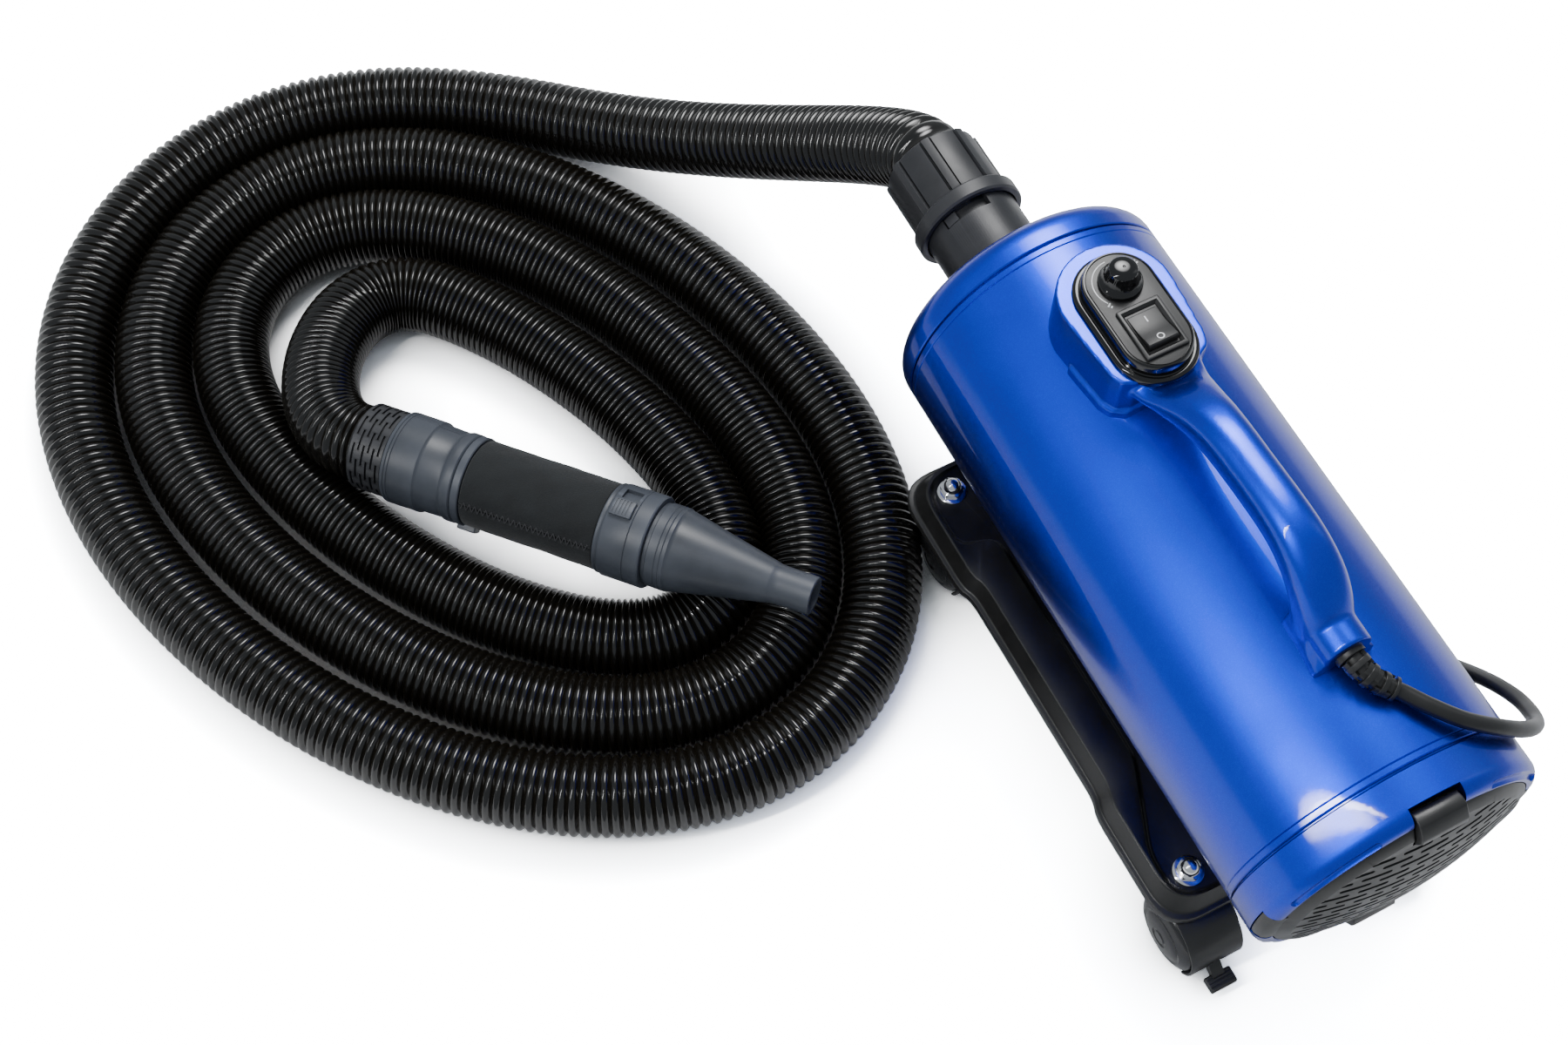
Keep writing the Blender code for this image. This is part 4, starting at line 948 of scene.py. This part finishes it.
def cord_path():
    """From the relief round behind the body, then down its right side to the floor."""
    before, last = [Vector(point) for point in relief_path()[-2:]]
    way = (last - before).normalized()
    return [
        last - 1 * way, last + 5 * way, (24, -158.5, 263.2), (36.5, -171.5, 259.6),
        (55.5, -181, 248.8), (77.5, -184, 227.5), (94, -180, 207), (103, -170, 192),
        (109, -156, 176), (112, -138, 156), (114, -116, 128), (116, -95, 98), (118, -76, 66),
        (120, -60, 36), (122, -44, 14), (123, -28, 5.5), (124, -8, CORD_RADIUS + 0.2),
        (122, 12, CORD_RADIUS + 0.2), (120, 30, CORD_RADIUS + 0.6)]


def cord_and_plug():
    cord = bar("mains_cord", through(cord_path(), 10), CORD_RADIUS, 24)
    finish(cord, RUBBER, "dryer", "cord_rubber", "power_cord")
    outline = eased([(PLUG_X - 15, 31), (PLUG_X + 15, 31), (PLUG_X + 17, 57), (PLUG_X - 17, 57)], 7, 6)
    plug = plate("plug_body", outline, 0.6, 19, 2.2)
    boot = [(PLUG_X - 5, 20), (PLUG_X + 5, 20), (PLUG_X + 8, 34), (PLUG_X - 8, 34)]
    join(plug, plate("plug_boot", boot, 1.2, 10.5, 1.2))
    for i in range(4):
        low = 21.6 + i * 2.6
        cut(plug, slab(f"boot_groove_{i}", (PLUG_X - 12, low, 8.8), (PLUG_X + 12, low + 1.1, 14)))
    for side in (-1, 1):
        grip_x = PLUG_X + side * 16.4
        for i in range(5):
            low = 36 + i * 3.6
            cut(plug, slab(f"grip_{side}_{i}", (grip_x - 1.3, low, 3),
                           (grip_x + 4 * side + 1.3, low + 1.4, 16)))
    finish(plug, RUBBER, "dryer", "cord_rubber", "mains_plug")
    for side in (-1, 1):
        profile = [(0, 55), (2.4, 55), (2.4, 75.6), (1.4, 77), (0, 77)]
        place = about((PLUG_X + side * 9.5, 0, 10), (0, 1, 0), (1, 0, 0))
        pin = turned(f"plug_pin_{side + 2}", profile, place, 32, 0.3)
        finish(pin, CHROME, "dryer", "bright_steel")


# ---------------------------------------------------------------- base and casters

def tray_outline(right):
    """An outline from its right side and that side's mirror image, with soft corners."""
    corners = right + [(-x, y) for x, y in reversed(right)]
    ends = (right[0][1], right[-1][1])
    points = []
    for i, corner in enumerate(corners):
        at_end = corner[1] in ends
        points += soft_corner(corners[i - 1], corner, corners[(i + 1) % len(corners)],
                              24 if at_end else 9, 8 if at_end else 4)
    return points


def deck_outline(inset):
    """The lip: two wide pads joined by a slightly narrower waist."""
    pad = 94 - inset
    waist = 90 - inset
    return tray_outline([(pad, -163 + inset), (pad, -84), (waist, -74), (waist, 72), (pad, 80),
                         (pad, 161 - inset)])


def trough_outline(inset):
    """The recess inside the ridge: narrow under the body, wide round each stud."""
    pad = 83.5 - inset
    waist = 60 - inset
    return tray_outline([(pad, -155 + inset), (pad, -120), (waist, -66), (waist, 97),
                         (pad, 101 + inset), (pad, 154 - inset)])


def stud_places():
    return [(x, y) for y in (STUD_Y, -STUD_Y) for x in (-STUD_X, STUD_X)]


def corner_name(x, y):
    return ("front" if y > 0 else "rear") + ("_left" if x < 0 else "_right")


def deck():
    lip = [(5, 65), (5, LIP_LOW + 0.5), (4.4, LIP_LOW), (1, LIP_LOW), (0, LIP_LOW + 1),
           (0, LIP_TOP - 1.2), (0.4, LIP_TOP - 0.3), (1.2, LIP_TOP), (2.4, LIP_TOP),
           (3.1, LIP_TOP + 0.3), (3.6, LIP_TOP + 1), (7.6, RIDGE_TOP - 1.4), (8.2, RIDGE_TOP - 0.4),
           (9.2, RIDGE_TOP)]
    recess = [(-0.6, RIDGE_TOP), (0.2, RIDGE_TOP - 0.4), (1, RIDGE_TOP - 1.4), (2.2, TROUGH_FLOOR + 1),
              (3.6, TROUGH_FLOOR + 0.15), (4.6, TROUGH_FLOOR)]
    rings = [[(x, y, z) for x, y in deck_outline(inset)] for inset, z in lip]
    rings += [[(x, y, z) for x, y in trough_outline(inset)] for inset, z in recess]
    tray = skin("deck_tray", rings)
    for low, high in ((62, 92), (-92, -62)):
        join(tray, slab("saddle", (-46, low, TROUGH_FLOOR - 2), (46, high, 104), 2))
    for x, y in stud_places():
        join(tray, rod("stud_boss", 12, LIP_LOW + 2, 67, upright(x, y), 32, 0.5))
        for i in range(4):
            angle = radians(45 + 90 * i)
            rib = [(x + reach * cos(angle) + w * sin(angle), y + reach * sin(angle) - w * cos(angle))
                   for reach, w in ((10, -1), (10, 1), (24, 1), (24, -1))]
            if all(abs(px) < 88 and abs(py) < 156 for px, py in rib):
                join(tray, plate("rib", rib, LIP_LOW + 4, 66))
    cutters = [rod("cradle", BODY_RADIUS + 0.05, -190, 190, BODY, 160)]
    cutters += [rod("stud_hole", 4.3, LIP_LOW - 5, 75, upright(x, y), 24) for x, y in stud_places()]
    cut(tray, *cutters)
    finish(tray, DECK, "dryer", "satin_black", "base_deck")


def hexed(radius, angle, distance):
    """Six flats on the nut's middle, rounded off where they meet the dome."""
    low, high = TROUGH_FLOOR + 1.9, TROUGH_FLOOR + 6.4
    if not low < distance < high or radius < 6:
        return radius
    facet = (angle * 6 / (2 * pi)) % 1 - 0.5
    return min(radius, NUT_FLAT_RADIUS / cos(facet * 2 * pi / 6))


def nut(x, y):
    profile = [(0, 12.7), (1.6, 12.5), (3.2, 11.8), (4.5, 10.5), (5.2, 8.9), (5.5, 7.4), (5.6, 6.9),
               (7.2, 6.2), (7.5, 5.8), (7.5, 2.4), (7.2, 1.9), (8.4, 1.7), (9.2, 1.3), (9.4, 0.9),
               (9.4, 0), (4.3, 0), (4.3, 7.5), (0, 7.5)]
    name = corner_name(x, y)
    piece = turned(f"acorn_nut_{name}", raised(profile, TROUGH_FLOOR + 0.1), upright(x, y), 96, 0, hexed)
    finish(piece, CHROME, "dryer", "bright_steel", f"stud_nut_{name}")


def fork(x, y):
    """The hood over the two wheels, the web between them, the stud socket and the axle."""
    name = corner_name(x, y)
    axle_y = y - TRAIL
    axle = (axle_y, WHEEL_RADIUS)
    outer = WHEEL_RADIUS + 2.6
    rim = arc(axle, outer, 45, 218, 40) + arc(axle, WHEEL_RADIUS + 0.9, 218, 45, 40)
    hood = across(f"caster_hood_{name}", rim, x - 17.5, x + 17.5, 0.5)
    web = arc(axle, outer - 0.7, 49, 215, 36) + [(axle_y - 8, 8), (axle_y + 8, 10), (axle_y + 15, 22)]
    join(hood, across("web", web, x - 7.9, x + 7.9, 0.4))
    join(hood, turned("socket", [(0, 29), (8.4, 29), (8.4, 50), (7.6, 52.6), (6.6, 53.6), (0, 53.6)],
                      upright(x, y), 48, 0.3))
    cutters = [rod("bore", 4.2, 36, LIP_LOW + 3, upright(x, y), 24)]
    if y < 0:
        cutters.append(slab("brake_slot", (x - 5, axle_y - 40, 4), (x + 5, axle_y - 15, 26)))
    cut(hood, *cutters)
    place = about((x, axle_y, WHEEL_RADIUS), (1, 0, 0), (0, 1, 0))
    join(hood, rod("axle", 3, -19, 19, place, 24, 0.4))
    finish(hood, CASTER, f"fork_{name}", "caster_plastic", f"caster_fork_{name}")


def wheel(x, y, side):
    """One wheel of a pair: a domed face with a stepped hub ring, and a crowned tread."""
    which = f"{corner_name(x, y)}_{'outer' if side * x > 0 else 'inner'}"
    profile = [(0, 23), (4.2, 22.9), (5, 22.2), (6.2, 22.2), (7, 22.8), (11, 22.3), (15.6, 21.5),
               (16.4, 20.8), (17.4, 20.7), (18.4, 21), (21, 19.9), (23, 18.5), (24.2, 17.2),
               (24.8, 15.4), (25, 13.4), (25, 10), (24.6, 8.8), (23.8, 8.5), (3.2, 8.5), (3.2, 19.4),
               (0, 19.4)]
    place = about((x, y - TRAIL, WHEEL_RADIUS), (side, 0, 0), (0, 1, 0))
    piece = turned(f"wheel_disc_{which}", profile, place, 96, 0)
    finish(piece, WHEEL, f"wheel_{which}", "wheel_plastic", f"wheel_{which}")


def pedal(x, y):
    """A foot lever at the trailing end, with ribs across its plate."""
    name = corner_name(x, y)
    axle_y = y - TRAIL
    side = [(-20, 24), (-27, 19.6), (-34, 14.4), (-34, 10), (-30, 9.5), (-19, 17)]
    outline = [(axle_y + along, height) for along, height in side]
    stem = across(f"brake_lever_{name}", outline, x - 4, x + 4, 0.5)
    join(stem, slab("pad", (x - 9, axle_y - 41, 9), (x + 9, axle_y - 31, 13.4), 1.0))
    for i in range(4):
        low = axle_y - 40 + i * 2.3
        join(stem, slab(f"rib_{i}", (x - 7.8, low, 12.8), (x + 7.8, low + 1.1, 14.3), 0.3))
    finish(stem, CASTER, f"pedal_{name}", "caster_plastic", f"brake_pedal_{name}")


# ---------------------------------------------------------------- hose

def spiral_point(turn):
    """A place on the coil: an oval that shrinks by a pitch each turn and is a little pear-shaped."""
    angle = 2 * pi * turn
    along = (SPIRAL_HALF_LENGTH - SPIRAL_PITCH_LONG * turn) * cos(angle)
    along += -6 * cos(2 * angle) - 3.8 * cos(3 * angle)
    sideways = (SPIRAL_HALF_WIDTH - SPIRAL_PITCH_WIDE * turn) * sin(angle)
    x = SPIRAL_CENTRE[0] + along * cos(SPIRAL_TURN) - sideways * sin(SPIRAL_TURN)
    y = SPIRAL_CENTRE[1] + along * sin(SPIRAL_TURN) + sideways * cos(SPIRAL_TURN)
    return Vector((x, y, HOSE_FLOOR))


def spiral_heading(turn):
    return (spiral_point(turn + 0.001) - spiral_point(turn)).normalized()


def cubic(start, near, far, end, steps):
    points = []
    for i in range(steps):
        t = i / steps
        points.append(start * (1 - t) ** 3 + near * 3 * t * (1 - t) ** 2
                      + far * 3 * t * t * (1 - t) + end * t ** 3)
    return points


def hose_height(travelled):
    """The hose leaves level with the body's axis, sags, and flattens out onto the floor."""
    share = min(travelled / HOSE_DROP_LENGTH, 1)
    flattened = min(1.04 * share ** 2 / (share + 0.04), 1)
    return HOSE_FLOOR + (AXIS_HEIGHT - HOSE_FLOOR) * (1 - flattened) ** 2.3


def hose_path():
    """The hose's centre line, from inside the collar to inside the wand's cuff."""
    mouth = Vector((0, COLLAR_END, HOSE_FLOOR))
    first = spiral_point(SPIRAL_FIRST_TURN)
    lead = cubic(mouth, mouth + Vector((0, 60, 0)),
                 first - 120 * spiral_heading(SPIRAL_FIRST_TURN), first, 90)
    count = 900
    pitch = (SPIRAL_LAST_TURN - SPIRAL_FIRST_TURN) / count
    coil = [spiral_point(SPIRAL_FIRST_TURN + i * pitch) for i in range(count)]
    last = spiral_point(SPIRAL_LAST_TURN)
    way = (WAND_TIP - WAND_START).normalized()
    end = WAND_START - 12 * way
    tail = cubic(last, last + 80 * spiral_heading(SPIRAL_LAST_TURN), end - 55 * way, end, 60)
    flat = lead + coil
    travelled = 0
    for before, point in zip(flat, flat[1:] + tail[:1]):
        before.z = hose_height(travelled)
        travelled += hypot(point.x - before.x, point.y - before.y)
    straight = [Vector((0, SPIGOT_END + 14 + i * 4, AXIS_HEIGHT)) for i in range(7)]
    return straight + flat + tail + [end + way * i * 4 for i in range(6)]


def ribbed_stations(path):
    """Places at equal steps along the path, and the hose's radius at each one."""
    lengths = [0]
    for before, point in zip(path, path[1:]):
        lengths.append(lengths[-1] + (point - before).length)
    total = lengths[-1]
    places = []
    radii = []
    travelled = 0
    i = 0
    while travelled < total:
        while lengths[i + 1] < travelled:
            i += 1
        share = (travelled - lengths[i]) / (lengths[i + 1] - lengths[i])
        places.append(path[i].lerp(path[i + 1], share))
        swell = RIB_SHAPE[len(radii) % RINGS_A_RIB]
        radii.append(HOSE_VALLEY + (HOSE_CREST - HOSE_VALLEY) * swell)
        stretch = min(1, max(0, travelled / total * 1.5 - 0.3))
        travelled += (RIB_PITCH_OUTER + (RIB_PITCH_INNER - RIB_PITCH_OUTER) * stretch) / RINGS_A_RIB
    return places, radii


def hose():
    places, radii = ribbed_stations(hose_path())
    piece = bar("hose_corrugated", places, radii, 36, span=3)
    finish(piece, VINYL, "dryer", "hose_vinyl", "hose", angle=80)


# ---------------------------------------------------------------- wand

def wand_cuff():
    profile = [(22.4, 33), (24, 33), (24, 21.2), (27.6, 21.2), (28.3, 20.6), (28.3, -2.2), (27.6, -3),
               (25.9, -3), (25.9, 13), (22.4, 13)]
    piece = turned("cuff_sleeve", profile, WAND, 144, 0)
    cutters = []
    for row in range(6):
        start = -0.4 + row * 3.5
        for k in range(9):
            angle = 360 * (k + 0.5 * (row % 2)) / 9
            cutters.append(sector(f"slot_{row}_{k}", WAND, 26.6, 30, start, start + 1.5,
                                  angle - 14, angle + 14, 6))
    cut(piece, *cutters)
    finish(piece, FITTING, "dryer", "wand_plastic", "wand_cuff")


def wand_collar():
    profile = [(20, 70), (28.2, 70), (29.2, 69.2), (29.3, 66), (29.3, 64), (28.7, 62.4), (28.0, 61.6),
               (27.9, 60), (28.3, 58.6), (28.6, 46.4), (29.4, 45.2), (30, 44.4), (30.1, 30)]
    for groove in (26.4, 24.2):
        profile += [(30.1, groove + 0.4), (29.7, groove), (30.1, groove - 0.4)]
    profile += [(30, 22.2), (29.4, 21.5), (24.3, 21.5), (24.3, 34), (20, 34)]
    piece = turned("swivel_collar", profile, WAND, 144, 0)
    lines = [sector(f"parting_{a}", WAND, 28.0, 32, 21, 62, a - 0.4, a + 0.4, 2) for a in (38, 218)]
    cut(piece, *lines)
    finish(piece, WANDS, "wand", "wand_plastic", "wand_collar")


def wand_barrel():
    profile = [(20, 191), (24.6, 191), (24.6, 76), (28.4, 76), (29, 75.4), (29, 71.2), (28.4, 70.5),
               (20, 70.5)]
    piece = turned("barrel_tube", profile, WAND, 120, 0)
    lug = sector("lug", WAND, 27, 31.6, 71.5, 84, 228, 246, 8)
    join(piece, bevelled(lug, 0.7))
    finish(piece, WANDS, "wand", "wand_plastic", "wand_barrel")


def rumpled(radius, angle, distance):
    """Soft cloth over the tube: slight waves, and a seam sunk between two low ridges."""
    if radius < 26:
        return radius
    wave = 0.14 * sin(5 * angle + distance * 0.11) + 0.1 * sin(11 * angle - distance * 0.23)
    off = abs((angle - SEAM_ANGLE + pi) % (2 * pi) - pi) * 28
    ridge = 0.55 * max(0, 1 - abs(off - 1.5) / 1.3) - 0.5 * max(0, 1 - off / 0.9)
    return radius + wave + ridge


def grip_sleeve():
    top = [(28.1, 166.5 - i * 3) for i in range(30)]
    profile = [(24.8, 168.2), (27.2, 168.2), (27.9, 167.7)] + top
    profile += [(27.9, 77.3), (27.2, 76.6), (24.8, 76.6)]
    piece = turned("grip_cover", profile, WAND, 180, 0, rumpled)
    finish(piece, KNIT, "wand", "grip_foam", "grip_sleeve")
    points = []
    for i in range(46):
        swing = 2.3 / 28 * (1 if i % 2 else -1)
        points.append(WAND(28.75, SEAM_ANGLE + swing, 79 + i * 1.93))
    smooth = []
    for a, b in zip(points, points[1:]):
        smooth += [a, a.lerp(b, 0.15), a.lerp(b, 0.5) + Vector((0, 0, -0.1)), a.lerp(b, 0.85)]
    thread = bar("seam_stitches", smooth + [points[-1]], 0.42, 8)
    finish(thread, THREAD, "wand", "grip_foam")


def wand_front_ring():
    profile = [(24.8, 200), (29.2, 200), (29.8, 199.2), (29.8, 190), (29.4, 189.6), (29.8, 189.2),
               (29.8, 173), (29.2, 172), (28.8, 171.4), (29.1, 170.6), (29.1, 169.4), (28.5, 168.7),
               (24.8, 168.7)]
    piece = turned("lock_ring", profile, WAND, 144, 0)
    lug = bevelled(sector("lug", WAND, 28, 32.4, 173.5, 188, -9, 13, 8), 0.6)
    join(piece, lug)
    ribs = [sector(f"lug_line_{i}", WAND, 32.0, 34, 175.5 + i * 2.2, 176.5 + i * 2.2, -7, 11, 6)
            for i in range(5)]
    window = sector("window", WAND, 27.5, 34, 176, 187.4, 18, 36, 8)
    cut(piece, window, *ribs)
    finish(piece, WANDS, "wand", "wand_plastic", "wand_front_ring")


def nozzle():
    profile = [(9.6, WAND_LENGTH), (11.8, WAND_LENGTH), (12.2, WAND_LENGTH - 0.5), (12.3, 284),
               (12.6, 279.4), (13.1, 278.6), (13.3, 277), (20.2, 244), (25.9, 217.4), (26.2, 215.6),
               (26.9, 214.8)]
    for groove in (212.2, 209.2):
        profile += [(27, groove + 0.4), (26.7, groove), (27, groove - 0.4)]
    profile += [(27, 203.4), (26.2, 202.8), (26.2, 200.6), (19.7, 200.6), (19.7, 184), (17.6, 184),
                (17.6, 214), (9.6, 276)]
    piece = turned("cone_tip", profile, WAND, 120, 0)
    finish(piece, WANDS, "nozzle", "wand_plastic", "cone_nozzle")


# ---------------------------------------------------------------- inside

def insides():
    """The model's own solids serve for what is hidden, each with its real material."""
    for name, material in (("fan_housing", ALLOY), ("motor_can", STEEL), ("motor_mount", SEAL),
                           ("inlet_seal", SEAL), ("impeller", ALLOY), ("speed_board", BOARD),
                           *((f"caster_stud_{corner_name(x, y)}", STEEL) for x, y in stud_places())):
        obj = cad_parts[name]
        obj.data.materials.clear()
        obj.data.materials.append(material)

    def pitted(radius, angle, distance):
        return radius + 0.3 * sin(radius * 1.9 + 23 * angle) * sin(distance * 0.8 + 17 * angle)
    disc = [(0, -193)] + [(8 * i, -193) for i in range(1, 10)] + [(78, -193), (79, -192), (79, -184.6),
                                                                   (78, -183.6)]
    disc += [(8 * i, -183.6) for i in range(9, 0, -1)] + [(0, -183.6)]
    pad = turned("filter_pad", disc, BODY, 96, 0, pitted)
    finish(pad, FOAM, "dryer", "filter_foam", "intake_filter")
    ring = [(82, 76 + 8 * i) for i in range(11)] + [(70, 156 - 8 * i) for i in range(11)]
    finish(turned("liner_wrap", ring, BODY, 96, 0, pitted), FOAM, "dryer", "filter_foam", "sound_liner")


# ---------------------------------------------------------------- stage

def soft_light(name, place, target, size, power, core=0.0):
    """A rectangular light that fades from its core, a share of its size, to its edge."""
    data = bpy.data.lights.new(name, "AREA")
    data.shape = "RECTANGLE"
    data.size, data.size_y = size
    data.energy = power
    data.use_nodes = True
    tree = data.node_tree
    place_on = add(tree, "NewGeometry").outputs["Parametric"]
    centred = add(tree, "VectorMath", {0: place_on, 1: (0.5, 0.5, 0)}, operation="SUBTRACT").outputs[0]
    away = add(tree, "VectorMath", {0: centred}, operation="LENGTH").outputs["Value"]
    tree.links.new(spread(tree, away, 1.0, 0.0, core, 0.5), tree.nodes["Emission"].inputs["Strength"])
    lamp = bpy.data.objects.new(name, data)
    lamp.location = place
    lamp.rotation_euler = (Vector(target) - Vector(place)).to_track_quat("-Z", "Y").to_euler()
    bpy.context.scene.collection.objects.link(lamp)


def stage():
    """A pale floor, brightened only as the camera sees it and darkened with painted contact shadow near
    the objects, soft lights and the camera.
    """
    form = bmesh.new()
    bmesh.ops.create_grid(form, x_segments=1, y_segments=1, size=6)
    ground = new_object("floor", form)
    material, tree, _, where = blank("floor_white_painted_shadow")
    cloud = noise(tree, where, 6, 3)
    seen = add(tree, "LightPath").outputs["Is Camera Ray"]
    paper = blend_colours(tree, cloud, (0.88, 0.88, 0.88), (0.9, 0.9, 0.9))
    # Painted contact shadow: ambient occlusion near the objects darkens the floor as the camera sees it,
    # down to 0.4 against the full gain.
    near = add(tree, "AmbientOcclusion", {"Distance": 0.07}, samples=8).outputs["AO"]
    near = add(tree, "Math", {0: near, 1: 2.2}, operation="POWER").outputs[0]
    bright = blend_colours(tree, near, (0.4, 0.4, 0.4), (FLOOR_GAIN, FLOOR_GAIN, FLOOR_GAIN))
    white = blend_colours(tree, seen, paper, bright)
    sheet = add(tree, "BsdfDiffuse", {"Color": white})
    tree.links.new(sheet.outputs["BSDF"], tree.nodes["Material Output"].inputs["Surface"])
    ground.data.materials.append(material)

    world = bpy.data.worlds.new("studio")
    world.use_nodes = True
    world.node_tree.nodes["Background"].inputs["Color"].default_value = (0.86, 0.93, 1, 1)
    world.node_tree.nodes["Background"].inputs["Strength"].default_value = 0.5
    bpy.context.scene.world = world
    middle = (0.1, -0.15, 0.1)
    soft_light("key", (0.9, 1.0, 2.1), middle, (1.6, 1.6), 165, 0.1)
    soft_light("strip_left", (-1.05, -0.1, 1.5), middle, (0.07, 1.7), 17, 0.35)
    soft_light("strip_left_thin", (-0.86, -0.1, 1.62), middle, (0.02, 1.7), 9, 0.35)
    soft_light("strip_right", (1.5, -0.3, 1.1), middle, (0.5, 1.5), 2)

    data = bpy.data.cameras.new("camera")
    data.lens = 48.6
    data.sensor_width = 36
    camera = bpy.data.objects.new("camera", data)
    camera.location = Vector((-0.4425, -0.3602, 1.2450)) + OFFSET
    camera.rotation_euler = (radians(26.79), 0, radians(-27.29))
    bpy.context.scene.collection.objects.link(camera)
    bpy.context.scene.camera = camera


# ---------------------------------------------------------------- assembly

def build():
    body_tube()
    front_cap()
    rear_cap()
    grille()
    latch("latch_top", 1, "top_latch")
    latch("latch_bottom", -1, "bottom_latch")
    spigot()
    collar()
    handle()
    bezel()
    dial_marks()
    knob()
    switch()
    strain_relief()
    cord_and_plug()
    deck()
    for x, y in stud_places():
        nut(x, y)
        fork(x, y)
        for side in (-1, 1):
            wheel(x, y, side)
        if y < 0:
            pedal(x, y)
    hose()
    wand_cuff()
    wand_collar()
    wand_barrel()
    grip_sleeve()
    wand_front_ring()
    nozzle()
    insides()
    stage()


build()
